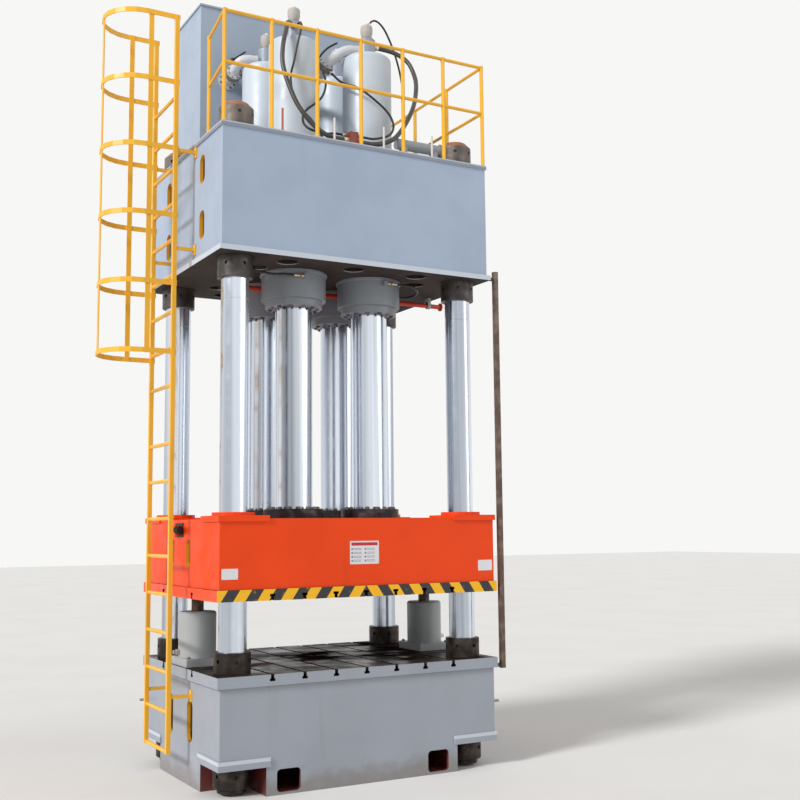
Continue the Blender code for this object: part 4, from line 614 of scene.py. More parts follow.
def slide_paint():
    """Orange enamel with yellow cells."""
    look = Look("slide_paint")
    colour = paint_tone(look, SLIDE_ORANGE, SLIDE_DIRT, low=0.64, high=0.82)
    below_top = look.below(look.axis("Z"), SLIDE_TOP_Z - 2 * LIP_MARGIN)
    cell = look.both(look.inside(SLIDE_INSIDE_X, SLIDE_INSIDE_Y), below_top)
    colour = look.mix(cell, colour, SAFETY_YELLOW)
    look.gloss(SLIDE_GLOSS)
    return paint_finish(look, colour, smooth=0.38)


def hazard_stripes(look, under):
    """Black and yellow bars on the front edge, leaning outwards from a triangle in the middle."""
    lean = look.both(look.math("SUBTRACT", SLIDE_PLATE_HIGH.z, look.axis("Z")), STRIPE_SLOPE)
    along = look.math("SUBTRACT", look.math("ABSOLUTE", look.axis("X")), lean)
    steps = look.math("DIVIDE", look.math("SUBTRACT", along, STRIPE_FIRST_X), STRIPE_PITCH)
    black = look.below(look.math("FRACT", steps), STRIPE_BLACK_SHARE)
    worn = look.patches(scale=30.0, detail=4.0, low=0.60, high=0.72, most=0.45)
    bars = look.mix(worn, look.mix(black, STRIPE_YELLOW, STRIPE_BLACK), STRIPE_WORN)
    front = look.below(look.axis("Y"), SLIDE_PLATE_LOW.y + MASK_MARGIN)
    return look.mix(front, under, bars)


def table_steel(name, node, side_colour, dirt, striped=False):
    """Painted edges round a machined working face with wet and rusty patches."""
    look = Look(name)
    painted = paint_tone(look, side_colour, dirt)
    if striped:
        painted = hazard_stripes(look, painted)
    _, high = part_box(node)
    inside = look.inside(high.x - EDGE_MARGIN, high.y - EDGE_MARGIN)
    oily = look.patches(scale=2.2, detail=5.0, low=0.42, high=0.74, stretch=(1.0, 2.5, 1.0))
    machined = look.mix(oily, OILY_BROWN, OILY_PALE)
    rusty = look.patches(scale=18.0, detail=5.0, low=0.57, high=0.74, most=0.60)
    machined = look.mix(rusty, machined, RUST)
    look.bump(
        look.noise(scale=220.0, detail=2.0, stretch=(0.15, 1.0, 1.0)), distance=0.0004, strength=0.30)
    wet = look.patches(scale=1.6, detail=4.0, low=0.38, high=0.70, most=0.10, stretch=(1.0, 1.8, 1.0))
    wet = look.both(inside, wet)
    gloss = look.math("ADD", look.both(look.apart_from(inside), PAINT_GLOSS), wet)
    look.gloss(gloss)
    rough = look.sheen(0.30, 0.46, scale=5.0)
    rough = look.math("SUBTRACT", rough, look.both(wet, WET_SMOOTHNESS))
    return look.finish(look.mix(inside, painted, machined), rough)


def chrome(name, dark_reflection, end_z=None):
    """Ground and plated steel with painted reflections: bright and dark streaks down the rod stand for
    reflected surroundings, under a thin film of oil.
    """
    look = Look(name, metallic=1.0)
    # Painted reflection: wide and fine bright and dark bands, stretched along the rod, mixed from the dark
    # tone to a bright bluish tone
    wide = look.patches(scale=8.0, detail=1.0, low=0.30, high=0.62, stretch=(1.0, 1.0, 0.010))
    fine = look.patches(scale=26.0, detail=1.0, low=0.36, high=0.64, stretch=(1.0, 1.0, 0.006))
    bands = look.math("ADD", look.both(wide, WIDE_REFLECTION_SHARE), look.both(fine, 1 - WIDE_REFLECTION_SHARE))
    colour = look.mix(bands, dark_reflection, CHROME_REFLECTION_BRIGHT)
    film = look.patches(scale=5.0, detail=5.0, low=0.58, high=0.82, most=0.16, stretch=(1.0, 1.0, 0.20))
    colour = look.mix(film, colour, OIL_FILM)
    if end_z is not None:
        rusty = look.mix(look.patches(scale=24.0, detail=4.0, low=0.40, high=0.65), END_RUST, END_RUST_DARK)
        end = look.above(look.axis("Z"), end_z)
        colour = look.mix(end, colour, rusty)
        look.put(look.shader.inputs["Metallic"], look.apart_from(end))
    look.bump(look.noise(scale=420.0, detail=1.0, stretch=(0.05, 0.05, 1.0)), distance=0.0002, strength=0.08)
    rough = look.patches(scale=8.0, detail=4.0, low=0.35, high=0.70, least=0.14, most=0.24)
    return look.finish(colour, rough)


def handled(look, base, worn, scale=11.0):
    # Steel with cloudy marks from handling.
    return look.mix(look.patches(scale, detail=5.0, low=0.42, high=0.68), base, worn)


def steel_finish(look, colour, smooth, rough):
    look.bump(look.noise(scale=90.0, detail=3.0), distance=0.0008, strength=0.35)
    return look.finish(colour, look.sheen(smooth, rough, scale=15.0))


def worn_steel(name, base, worn, rust_share=0.35, smooth=0.34, rough=0.55, metallic=0.75):
    """Blackened steel with handling marks and a little rust."""
    look = Look(name, metallic)
    colour = handled(look, base, worn)
    rusty = look.patches(scale=24.0, detail=6.0, low=0.58, high=0.74, most=rust_share)
    return steel_finish(look, look.mix(rusty, colour, RUST), smooth, rough)


def top_nut_steel():
    """Bare steel under a rusted upper rim."""
    look = Look("top_nut_steel", metallic=0.2)
    colour = handled(look, TOP_NUT_TONE, TOP_NUT_PALE, scale=9.0)
    uneven = look.both(look.noise(scale=16.0, detail=4.0), RIM_RAGGEDNESS)
    rim_z = look.math("ADD", look.axis("Z"), uneven)
    rim = look.span(rim_z, TOP_NUT_TOP_Z - RIM_FROM, TOP_NUT_TOP_Z - RIM_FULL, most=RIM_SHARE)
    colour = look.mix(rim, colour, END_RUST)
    runs = look.patches(scale=20.0, detail=4.0, low=0.56, high=0.72, most=0.35, stretch=(1.0, 1.0, 0.15))
    return steel_finish(look, look.mix(runs, colour, RUST), smooth=0.42, rough=0.62)


def rail_steel():
    """Rusty brown angle with one cream-painted edge."""
    look = Look("rail_steel", metallic=0.3)
    low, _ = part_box("position_rail")
    colour = handled(look, RAIL_BROWN, RAIL_PALE)
    rusty = look.patches(scale=24.0, detail=6.0, low=0.56, high=0.74, most=0.60)
    colour = look.mix(rusty, colour, RUST)
    edge = look.both(look.below(look.axis("X"), low.x + RAIL_EDGE), RAIL_EDGE_SHARE)
    return steel_finish(look, look.mix(edge, colour, RAIL_CREAM), smooth=0.40, rough=0.60)


def rubber(name, base, dusty, smooth=0.42, rough=0.62):
    look = Look(name)
    colour = look.mix(look.patches(scale=14.0, detail=4.0, low=0.45, high=0.75, most=0.45), base, dusty)
    look.bump(look.noise(scale=260.0, detail=2.0), distance=0.0005, strength=0.30)
    return look.finish(colour, look.sheen(smooth, rough, scale=10.0, detail=3.0))


def bulb_plastic():
    """Beige moulded cover with a fine diamond grain."""
    look = Look("bulb_plastic")
    grain = look.both(
        look.math("SINE", look.both(look.axis("Z"), GRAIN_UP)),
        look.math("SINE", look.both(look.axis("X"), GRAIN_ACROSS)))
    colour = look.mix(look.span(grain, low=-0.2, high=0.6, most=0.35), BULB_BEIGE, BULB_SHADE)
    look.bump(grain, distance=0.0010, strength=0.60)
    rough = look.patches(scale=20.0, detail=3.0, low=0.30, high=0.70, least=0.45, most=0.60)
    return look.finish(colour, rough)


LOOKS = {
    "crown": crown_paint(),
    "bed": bed_paint(),
    "slide": slide_paint(),
    "table": table_steel("table_steel", "table_plate", BED_GREY, BED_DIRT),
    "slide_plate": table_steel("slide_plate_steel", "slide_plate", SLIDE_ORANGE, (120, 40, 24), striped=True),
    "chrome": chrome("plunger_chrome", CHROME_REFLECTION_DARK),
    "column": chrome("column_chrome", COLUMN_REFLECTION_DARK, TOP_NUT_TOP_Z),
    "nut": worn_steel("nut_steel", NUT_TONE, (72, 64, 58)),
    "lower_nut": worn_steel("lower_nut_steel", LOWER_NUT_TONE, (84, 78, 75), 0.15, metallic=0.4),
    "top_nut": top_nut_steel(),
    "neck": machine_paint("neck_paint", NECK_GREY, (96, 92, 88)),
    "cylinder": machine_paint("cylinder_paint", CYLINDER_GREY, (66, 62, 60)),
    "barrel": machine_paint("barrel_paint", BARREL_WHITE, (140, 134, 126)),
    "tank": machine_paint("tank_paint", TANK_GREY, (120, 112, 102)),
    "yellow": machine_paint("safety_paint", SAFETY_YELLOW, (150, 92, 30), 0.32, 0.46),
    "red": machine_paint("pipe_paint", PIPE_RED, (110, 34, 22)),
    "pipe": machine_paint("suction_paint", (206, 208, 212), (130, 120, 108)),
    "wafer": machine_paint("wafer_paint", (120, 118, 116), (70, 62, 56)),
    "buffer": machine_paint("buffer_paint", BUFFER_GREY, (118, 84, 60)),
    "flange": worn_steel("flange_steel", (40, 40, 42), (84, 80, 78), 0.15),
    "rod": worn_steel("rod_steel", (70, 52, 46), (98, 80, 72), 0.55, metallic=0.6),
    "rail": rail_steel(),
    "block": machine_paint("block_paint", (132, 62, 54), (70, 40, 34)),
    "lever": worn_steel("lever_steel", (30, 30, 32), (60, 58, 58), 0.05, metallic=0.3),
    "bolt": worn_steel("bolt_steel", (96, 94, 92), (150, 148, 146), 0.12),
    "brass": worn_steel("brass", (170, 128, 66), (206, 168, 98), 0.05, 0.26, 0.40),
    "fitting": worn_steel("fitting_steel", (196, 190, 176), (224, 220, 210), 0.05, 0.24, 0.36),
    "thick_hose": rubber("thick_hose_rubber", (66, 62, 60), (96, 90, 86), 0.34, 0.46),
    "hose": rubber("hose_rubber", (34, 34, 36), (60, 58, 58)),
    "bulb": bulb_plastic(),
    "cap": machine_paint("cap_paint", CAP_WHITE, (180, 176, 168)),
    "plate_white": machine_paint("plate_white", PLATE_WHITE, (170, 168, 166), 0.25, 0.35),
    "mark_grey": machine_paint("mark_grey", (120, 118, 122), (90, 88, 90), 0.25, 0.35),
    "plate_red": machine_paint("plate_red", PLATE_RED, (120, 20, 30), 0.25, 0.35),
}


# Meshes

UP = Vector((0, 0, 1))
SHARP_ANGLE = math.radians(30)
HEX_SIDES = 6
BOLT_SIDES = 20
ROD_SIDES = 24
TUBE_SIDES = 32
DISC_SIDES = 40
WASHER_HEIGHT_SHARE = 0.25
WASHER_RADIUS_SHARE = 1.35
HEAD_HEIGHT_SHARE = 0.60
CROWN_HEIGHT_SHARE = 0.15
CROWN_RADIUS_SHARES = (0.92, 0.70)
BEVEL_ANGLE = math.radians(60)
PIECE_BEVEL = 0.003
NODE_BEVEL = 0.002


def add_object(name, data):
    made = bpy.data.objects.new(name, data)
    bpy.context.scene.collection.objects.link(made)
    return made


def as_mesh(name, shape):
    mesh = bpy.data.meshes.new(name)
    bmesh.ops.recalc_face_normals(shape, faces=shape.faces)
    shape.to_mesh(mesh)
    shape.free()
    return mesh


def smoothed(mesh):
    # Smooth rounds between sharp edges.
    mesh.shade_smooth()
    mesh.set_sharp_from_angle(angle=SHARP_ANGLE)
    return mesh


def add_piece(name, data, look, body="frame", node=None):
    """One piece in its look, on its body, for the node that it replaces, if any."""
    piece = add_object(name, data)
    data.materials.clear()
    data.materials.append(LOOKS[look])
    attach(piece, body)
    if node:
        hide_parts(node)
    return piece


def add_shape(name, shape, look, body="frame", node=None):
    return add_piece(name, smoothed(as_mesh(name, shape)), look, body, node)


def put_turned(shape, profile, at, sides=SMOOTH_SIDES, closed=False):
    """Turns (radius, height) points round a vertical line. A radius of 0 makes a pole."""
    rings = []
    for radius, height in profile:
        ring = []
        for side in range(sides if radius > 0 else 1):
            angle = 2 * math.pi * side / sides
            ring.append(shape.verts.new((
                at.x + radius * math.cos(angle), at.y + radius * math.sin(angle), height)))
        rings.append(ring)
    pairs = list(zip(rings, rings[1:]))
    if closed:
        pairs.append((rings[-1], rings[0]))
    for upper, lower in pairs:
        for side in range(sides):
            places = ((upper, side), (upper, side + 1), (lower, side + 1), (lower, side))
            corners = list(dict.fromkeys(ring[step % len(ring)] for ring, step in places))
            if len(corners) > 2:
                shape.faces.new(corners)
    return shape


def turned(name, profile, at, look, body="frame", slot=None, node=None, **options):
    return add_shape(name, put_turned(bmesh.new(), profile, at, **options), look, body, node)


def put_rod(shape, start, end, radius, sides=ROD_SIDES, end_radius=None):
    # A closed rod, or a cone where the end's radius differs.
    along = end - start
    turn = along.to_track_quat("Z", "Y").to_matrix().to_4x4()
    place = Matrix.Translation((start + end) / 2) @ turn
    bmesh.ops.create_cone(
        shape, cap_ends=True, segments=sides, radius1=radius, radius2=end_radius or radius,
        depth=along.length, matrix=place)


def put_box(shape, low, high):
    low, high = Vector(low), Vector(high)
    place = Matrix.Translation((low + high) / 2) @ Matrix.Diagonal((*(high - low), 1.0))
    bmesh.ops.create_cube(shape, size=1.0, matrix=place)


def put_hex_bolt(shape, at, out, radius, height):
    # A six-sided head with a chamfered crown on a round washer.
    washer = at + out * height * WASHER_HEIGHT_SHARE
    put_rod(shape, at, washer, radius * WASHER_RADIUS_SHARE, BOLT_SIDES)
    crown = washer + out * height * HEAD_HEIGHT_SHARE
    put_rod(shape, washer, crown, radius, HEX_SIDES)
    wide, narrow = (radius * share for share in CROWN_RADIUS_SHARES)
    put_rod(shape, crown, crown + out * height * CROWN_HEIGHT_SHARE, wide, HEX_SIDES, narrow)


def bolt_ring(shape, centre, ring_radius, count, out, size):
    # Bolts round a centre, on the face that looks towards out. The size is radius and height.
    out = out.normalized()
    across = out.orthogonal().normalized()
    for index in range(count):
        spoke = Matrix.Rotation(2 * math.pi * (index + 0.5) / count, 3, out) @ across
        put_hex_bolt(shape, centre + spoke * ring_radius, out, *size)


def put_tube(shape, route, radius, sides=TUBE_SIDES):
    # A round tube along a route of points, closed at both ends.
    ends = [route[0], *route, route[-1]]
    side = (route[1] - route[0]).orthogonal().normalized()
    rings = []
    for before, at, after in zip(ends, route, ends[2:]):
        along = (after - before).normalized()
        side = (side - along * side.dot(along)).normalized()
        ring = []
        for step in range(sides):
            turn = Matrix.Rotation(2 * math.pi * step / sides, 3, along)
            ring.append(shape.verts.new(at + turn @ side * radius))
        rings.append(ring)
    for one, other in zip(rings, rings[1:]):
        for step in range(sides):
            after = (step + 1) % sides
            shape.faces.new((one[step], one[after], other[after], other[step]))
    shape.faces.new(rings[0])
    shape.faces.new(rings[-1])


def quarter_turn(steps=QUARTER_STEPS):
    # Sines and cosines from 0 to 90 degrees.
    angles = [math.radians(90 * step / steps) for step in range(steps + 1)]
    return [(math.sin(angle), math.cos(angle)) for angle in angles]


def chamfered(inner, radius, top_z, edge):
    # The chamfered top of a ring or, with 0 for the inner radius, of a rod.
    return [(inner, top_z), (radius - edge, top_z), (radius, top_z - edge)]


def heights_and_middle(node):
    low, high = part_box(node)
    return low.z, high.z, (low + high) / 2


def add_bolt_ring(name, at, height, ring_radius, count, out, size, body="frame"):
    bolts = bmesh.new()
    bolt_ring(bolts, Vector((at.x, at.y, height)), ring_radius, count, out, size)
    add_shape(name, bolts, "bolt", body)


def bevelled(piece, width):
    bevel = piece.modifiers.new("edges", "BEVEL")
    bevel.width = width
    bevel.segments = 2
    bevel.angle_limit = BEVEL_ANGLE
    return piece


def cut_with(name, body_shape, cutter_shape):
    """The first shape less the second, as a mesh."""
    item = add_object(name, as_mesh(name + "_body", body_shape))
    cutter = add_object(name + "_cutter", as_mesh(name + "_cutter", cutter_shape))
    boolean = item.modifiers.new("cut", "BOOLEAN")
    boolean.operation = "DIFFERENCE"
    boolean.solver = "EXACT"
    boolean.object = cutter
    graph = bpy.context.evaluated_depsgraph_get()
    made = bpy.data.meshes.new_from_object(item.evaluated_get(graph))
    made.name = name
    for old in (item, cutter):
        bpy.data.objects.remove(old, do_unlink=True)
    return smoothed(made)


# Camera, floor and lamps

def add_camera():
    yaw, pitch, roll = (math.radians(a) for a in (CAMERA_YAW_DEG, CAMERA_PITCH_DEG, CAMERA_ROLL_DEG))
    forward = Vector((math.sin(yaw) * math.cos(pitch), math.cos(yaw) * math.cos(pitch), math.sin(pitch)))
    right = forward.cross(UP).normalized()
    up = right.cross(forward)
    turn = Matrix.Rotation(-roll, 3, forward)
    right, up = turn @ right, turn @ up
    rig = Matrix((right, up, -forward)).transposed().to_4x4()
    data = bpy.data.cameras.new("camera")
    data.lens = CAMERA_LENS_MM
    data.sensor_width = CAMERA_SENSOR_MM
    camera = add_object("camera", data)
    camera.matrix_world = Matrix.Translation(CAMERA_PLACE) @ rig
    bpy.context.scene.camera = camera


def add_sun(name, source, strength, angle_deg):
    data = bpy.data.lights.new(name, "SUN")
    data.energy = strength
    data.angle = math.radians(angle_deg)
    add_object(name, data).rotation_euler = source.to_track_quat("Z", "Y").to_euler()


def add_floor():
    shape = bmesh.new()
    bmesh.ops.create_grid(shape, x_segments=1, y_segments=1, size=FLOOR_HALF_SIZE)
    mesh = as_mesh("floor", shape)
    look = Look("floor_paint")
    tone = look.patches(scale=0.6, detail=3.0, low=0.35, high=0.65, least=0.98, most=1.01)
    mesh.materials.append(look.finish(look.shade(tone, FLOOR_COLOUR), FLOOR_ROUGHNESS))
    add_object("floor", mesh)


def set_world():
    """A bright backdrop for the camera and in reflections, over a dimmer light all round."""
    world = bpy.data.worlds.new("studio")
    bpy.context.scene.world = world
    world.use_nodes = True
    tree = Tree(world.node_tree)
    rays = tree.node("LightPath").outputs
    seen = tree.math("MAXIMUM", rays["Is Camera Ray"], rays["Is Glossy Ray"])
    seen = tree.math("MAXIMUM", seen, rays["Is Transmission Ray"])
    strength = tree.node("MapRange", Value=seen, To_Min=WORLD_STRENGTH, To_Max=1.0)
    background = tree.nodes["Background"]
    tree.put(background.inputs["Color"], (*BACKDROP_COLOUR, 1.0))
    tree.put(background.inputs["Strength"], strength.outputs["Result"])


# Hoses

def smooth_route(knots, spacing):
    """Points about one spacing apart on a smooth curve through the knots, straight at both ends."""
    knots = [Vector(k) for k in knots]
    route = [knots[0]]
    for index in range(1, len(knots) - 2):
        before, start, end, after = knots[index - 1:index + 3]
        steps = max(2, round((end - start).length / spacing))
        for step in range(steps):
            t = step / steps
            route.append(0.5 * (
                2 * start + (end - before) * t
                + (2 * before - 5 * start + 4 * end - after) * t * t
                + (3 * start - before - 3 * end + after) * t ** 3))
    return route + knots[-2:]


def add_hose(name):
    radius, knots = HOSE_ROUTES[name]
    route = smooth_route(knots, 2 * radius * HOSE_SPACING_DIAMETERS)
    curve = bpy.data.curves.new(name + "_look", "CURVE")
    curve.dimensions = "3D"
    curve.bevel_depth = radius
    curve.bevel_resolution = HOSE_RESOLUTION
    curve.use_fill_caps = True
    spline = curve.splines.new("POLY")
    spline.points.add(len(route) - 1)
    for point, place in zip(spline.points, route):
        point.co = (*place, 1.0)
    spline.use_smooth = True
    look, stiffness = ("thick_hose", "stiff") if radius == THICK_HOSE else ("hose", "medium")
    hose = add_piece(name + "_look", curve, look, node=name)


# Nuts and columns

def tommy_holes(at, low_z, high_z, turn_deg):
    # Rods that cut the round holes for a bar into a nut's rim.
    shape = bmesh.new()
    height = low_z + TOMMY_HEIGHT_SHARE * (high_z - low_z)
    for hole in range(TOMMY_HOLES):
        angle = math.radians(turn_deg) + 2 * math.pi * hole / TOMMY_HOLES
        out = Vector((math.cos(angle), math.sin(angle), 0))
        middle = Vector((at.x, at.y, height))
        put_rod(
            shape, middle + out * (NUT_RADIUS - TOMMY_DEPTH), middle + out * (NUT_RADIUS + TOMMY_DEPTH),
            TOMMY_RADIUS, BOLT_SIDES)
    return shape


# First hole's angle of each nut, corner by corner
FOOT_NUT_TURNS_DEG = (20, 0, 40, 20)
TABLE_NUT_TURNS_DEG = (20, 40, 0, 20)
LOWER_NUT_TURNS_DEG = (40, 0, 20, 40)
TOP_NUT_TURNS_DEG = (20, 0, 40, 20)


def nut(node, turn_deg, chamfer, look):
    low_z, high_z, at = heights_and_middle(node)
    bore = COLUMN_RADIUS + NUT_GAP
    profile = [
        *chamfered(bore, NUT_RADIUS, high_z, chamfer), (NUT_RADIUS, low_z + NUT_EDGE),
        (NUT_RADIUS - NUT_EDGE, low_z), (bore, low_z)]
    ring = put_turned(bmesh.new(), profile, at, closed=True)
    mesh = cut_with(node + "_look", ring, tommy_holes(at, low_z, high_z, turn_deg))
    add_piece(node + "_look", mesh, look, node=node)


def column(corner, turn_deg):
    node = "column_" + corner
    low_z, high_z, at = heights_and_middle(node)
    turned(node + "_look", [
        *chamfered(0, COLUMN_RADIUS, high_z, COLUMN_CHAMFER), (COLUMN_RADIUS, SEAM_Z + SEAM_HALF_HEIGHT),
        (COLUMN_RADIUS - SEAM_DEPTH, SEAM_Z), (COLUMN_RADIUS, SEAM_Z - SEAM_HALF_HEIGHT),
        (COLUMN_RADIUS, FOOT_NUT_HIGH_Z + NUT_GAP),
    ], at, "column", slot="column_chrome", node=node)
    foot = [
        (0, FOOT_NUT_HIGH_Z), (NUT_RADIUS, FOOT_NUT_HIGH_Z), (NUT_RADIUS, FOOT_NUT_LOW_Z + NUT_CHAMFER),
        (NUT_RADIUS - NUT_CHAMFER, FOOT_NUT_LOW_Z), (COLUMN_RADIUS, FOOT_NUT_LOW_Z),
        (COLUMN_RADIUS, low_z + EDGE), (COLUMN_RADIUS - EDGE, low_z), (0, low_z)]
    mesh = cut_with(
        "foot_nut_" + corner, put_turned(bmesh.new(), foot, at),
        tommy_holes(at, FOOT_NUT_LOW_Z, FOOT_NUT_HIGH_Z, turn_deg))
    add_piece("foot_nut_" + corner, mesh, "nut", node=node)


def add_columns():
    for index, (corner, _, _) in enumerate(CORNERS):
        column(corner, FOOT_NUT_TURNS_DEG[index])
        nut("table_nut_" + corner, TABLE_NUT_TURNS_DEG[index], EDGE, "nut")
        nut("lower_nut_" + corner, LOWER_NUT_TURNS_DEG[index], EDGE, "lower_nut")
        nut("top_nut_" + corner, TOP_NUT_TURNS_DEG[index], TOP_NUT_CHAMFER, "top_nut")


# Cylinders, their plungers and valves

def plunger(corner):
    node = "plunger_" + corner
    low_z, high_z, at = heights_and_middle(node)
    top = low_z + FLANGE_HEIGHT
    turned(node + "_look", [
        *chamfered(0, PLUNGER_RADIUS, high_z, PLUNGER_CHAMFER), (PLUNGER_RADIUS, top - PLUNGER_SUNK),
    ], at, "chrome", "slide", "plunger_chrome", node)
    bore = PLUNGER_RADIUS + NUT_GAP
    turned("flange_" + corner, [
        *chamfered(bore, FLANGE_RADIUS, top, EDGE), (FLANGE_RADIUS, low_z), (bore, low_z),
    ], at, "flange", "slide", node=node, closed=True)
    add_bolt_ring(
        "flange_bolts_" + corner, at, top, (PLUNGER_RADIUS + FLANGE_RADIUS) / 2, FLANGE_BOLTS, UP,
        FLANGE_BOLT_SIZE, "slide")


def gland(corner):
    node = "gland_ring_" + corner
    low_z, high_z, at = heights_and_middle(node)
    bore = PLUNGER_RADIUS + GLAND_CLEARANCE
    turned(node + "_look", [
        (bore, high_z), (GLAND_RADIUS, high_z), (GLAND_RADIUS, low_z + RING_EDGE),
        (GLAND_RADIUS - RING_EDGE, low_z), (bore + BORE_EDGE, low_z), (bore, low_z + BORE_EDGE),
    ], at, "cylinder", slot="cylinder_paint", node=node, closed=True)
    add_bolt_ring(
        "gland_bolts_" + corner, at, low_z, (PLUNGER_RADIUS + GLAND_RADIUS) / 2, GLAND_BOLTS, -UP,
        GLAND_BOLT_SIZE)


def shoulder_arc(radius, top_z, size):
    # A quarter round from the top face down to the wall.
    return [(radius - size + size * sine, top_z - size + size * cosine) for sine, cosine in quarter_turn()]


def main_cylinder(corner, side_x, side_y):
    node = "main_cylinder_" + corner
    at = Vector((side_x * CYLINDER_SPAN_X / 2, side_y * CYLINDER_SPAN_Y / 2, 0))
    seat_z = CROWN_LOW_Z - NUT_GAP
    collar_z = seat_z - COLLAR_HEIGHT
    turned("barrel_" + corner, [
        (0, BARREL_TOP_Z), *shoulder_arc(BARREL_RADIUS, BARREL_TOP_Z, BARREL_SHOULDER),
        (BARREL_RADIUS, seat_z), (CYLINDER_BORE, seat_z), (CYLINDER_BORE, BORE_TOP_Z), (0, BORE_TOP_Z),
    ], at, "barrel", slot="cylinder_paint", node=node)
    body = put_turned(bmesh.new(), [
        (CYLINDER_BORE, seat_z), (COLLAR_RADIUS, seat_z), (COLLAR_RADIUS, collar_z + RING_EDGE),
        (COLLAR_RADIUS - RING_EDGE, collar_z), (CYLINDER_RADIUS, collar_z),
        (CYLINDER_RADIUS, CYLINDER_LOW_Z + RING_EDGE), (CYLINDER_RADIUS - RING_EDGE, CYLINDER_LOW_Z),
        (CYLINDER_BORE, CYLINDER_LOW_Z)], at, closed=True)
    if side_y < 0:
        hose = "hose_cylinder_left" if side_x < 0 else "hose_cylinder_right"
        start = Vector(HOSE_ROUTES[hose][1][0])
        half = CYLINDER_LUG_SIZE / 2
        inner_y = -CYLINDER_SPAN_Y / 2 - CYLINDER_RADIUS + CYLINDER_LUG_SIZE
        x = side_x * CYLINDER_LUG_X
        put_box(body, (x - half, start.y - half, start.z - half), (x + half, inner_y, start.z + half))
    add_shape("cylinder_body_" + corner, body, "cylinder", node=node)


def prefill_valve(corner, side_x, side_y, has_port):
    node = "prefill_valve_" + corner
    at = Vector((side_x * CYLINDER_SPAN_X / 2, side_y * CYLINDER_SPAN_Y / 2, 0))
    low_z = BARREL_TOP_Z + NUT_GAP
    neck_z = BARREL_TOP_Z + VALVE_NECK_HEIGHT
    bulb_z = neck_z + VALVE_STEM_HEIGHT
    bulb_top = bulb_z + BULB_HEIGHT
    cap_top = bulb_top + BULB_CAP_HEIGHT
    neck = put_turned(bmesh.new(), [
        (0, neck_z + SUNK), (VALVE_STEM_RADIUS, neck_z + SUNK), (VALVE_STEM_RADIUS, neck_z),
        (VALVE_NECK_RADIUS - NECK_EDGE, neck_z), (VALVE_NECK_RADIUS, neck_z - NECK_EDGE),
        (VALVE_NECK_RADIUS, low_z), (0, low_z)], at)
    if has_port:
        middle = Vector((at.x, at.y, BARREL_TOP_Z + PORT_HEIGHT))
        put_rod(neck, middle - Vector((PORT_REACH, 0, 0)), middle, PORT_RADIUS, DISC_SIDES)
    add_shape("valve_neck_" + corner, neck, "neck", node=node)
    profile = [
        (BULB_RADIUS * share_r, bulb_z + BULB_HEIGHT * share_z)
        for share_r, share_z in reversed(BULB_PROFILE_SHARES)]
    turned("valve_bulb_" + corner, [
        (0, bulb_top), *profile, (VALVE_STEM_RADIUS, bulb_z), (VALVE_STEM_RADIUS, neck_z), (0, neck_z),
    ], at, "bulb", slot="valve_paint", node=node)
    turned("valve_cap_" + corner, [
        *chamfered(0, BULB_CAP_RADIUS, cap_top, EDGE), (BULB_CAP_RADIUS, bulb_top - SUNK),
        (0, bulb_top - SUNK),
    ], at, "cap", slot="valve_paint", node=node, sides=TUBE_SIDES)
    ring_radius = (VALVE_STEM_RADIUS + VALVE_NECK_RADIUS) / 2 + VALVE_BOLTS_OUT
    add_bolt_ring("valve_bolts_" + corner, at, neck_z, ring_radius, RING_BOLTS, UP, LARGE_BOLT_SIZE)


def add_cylinders():
    for corner, side_x, side_y in CORNERS:
        plunger(corner)
        gland(corner)
        main_cylinder(corner, side_x, side_y)
        prefill_valve(corner, side_x, side_y, corner in ("back_left", "front_right"))


# Pipes, buffers, the right valve's lever and the hose fittings

def put_flange_pair(pipe, bolts, at, along, half, radius):
    # A disc on each side of a wafer, with bolts through both.
    for side in (-1, 1):
        face = at + along * side * half
        outer = face + along * side * PIPE_FLANGE_THICKNESS
        put_rod(pipe, face, outer, radius, DISC_SIDES)
        ring_radius = (PIPE_RADIUS + radius) / 2 + WAFER_BOLTS_OUT
        bolt_ring(bolts, outer, ring_radius, RING_BOLTS, along * side, SMALL_BOLT_SIZE)


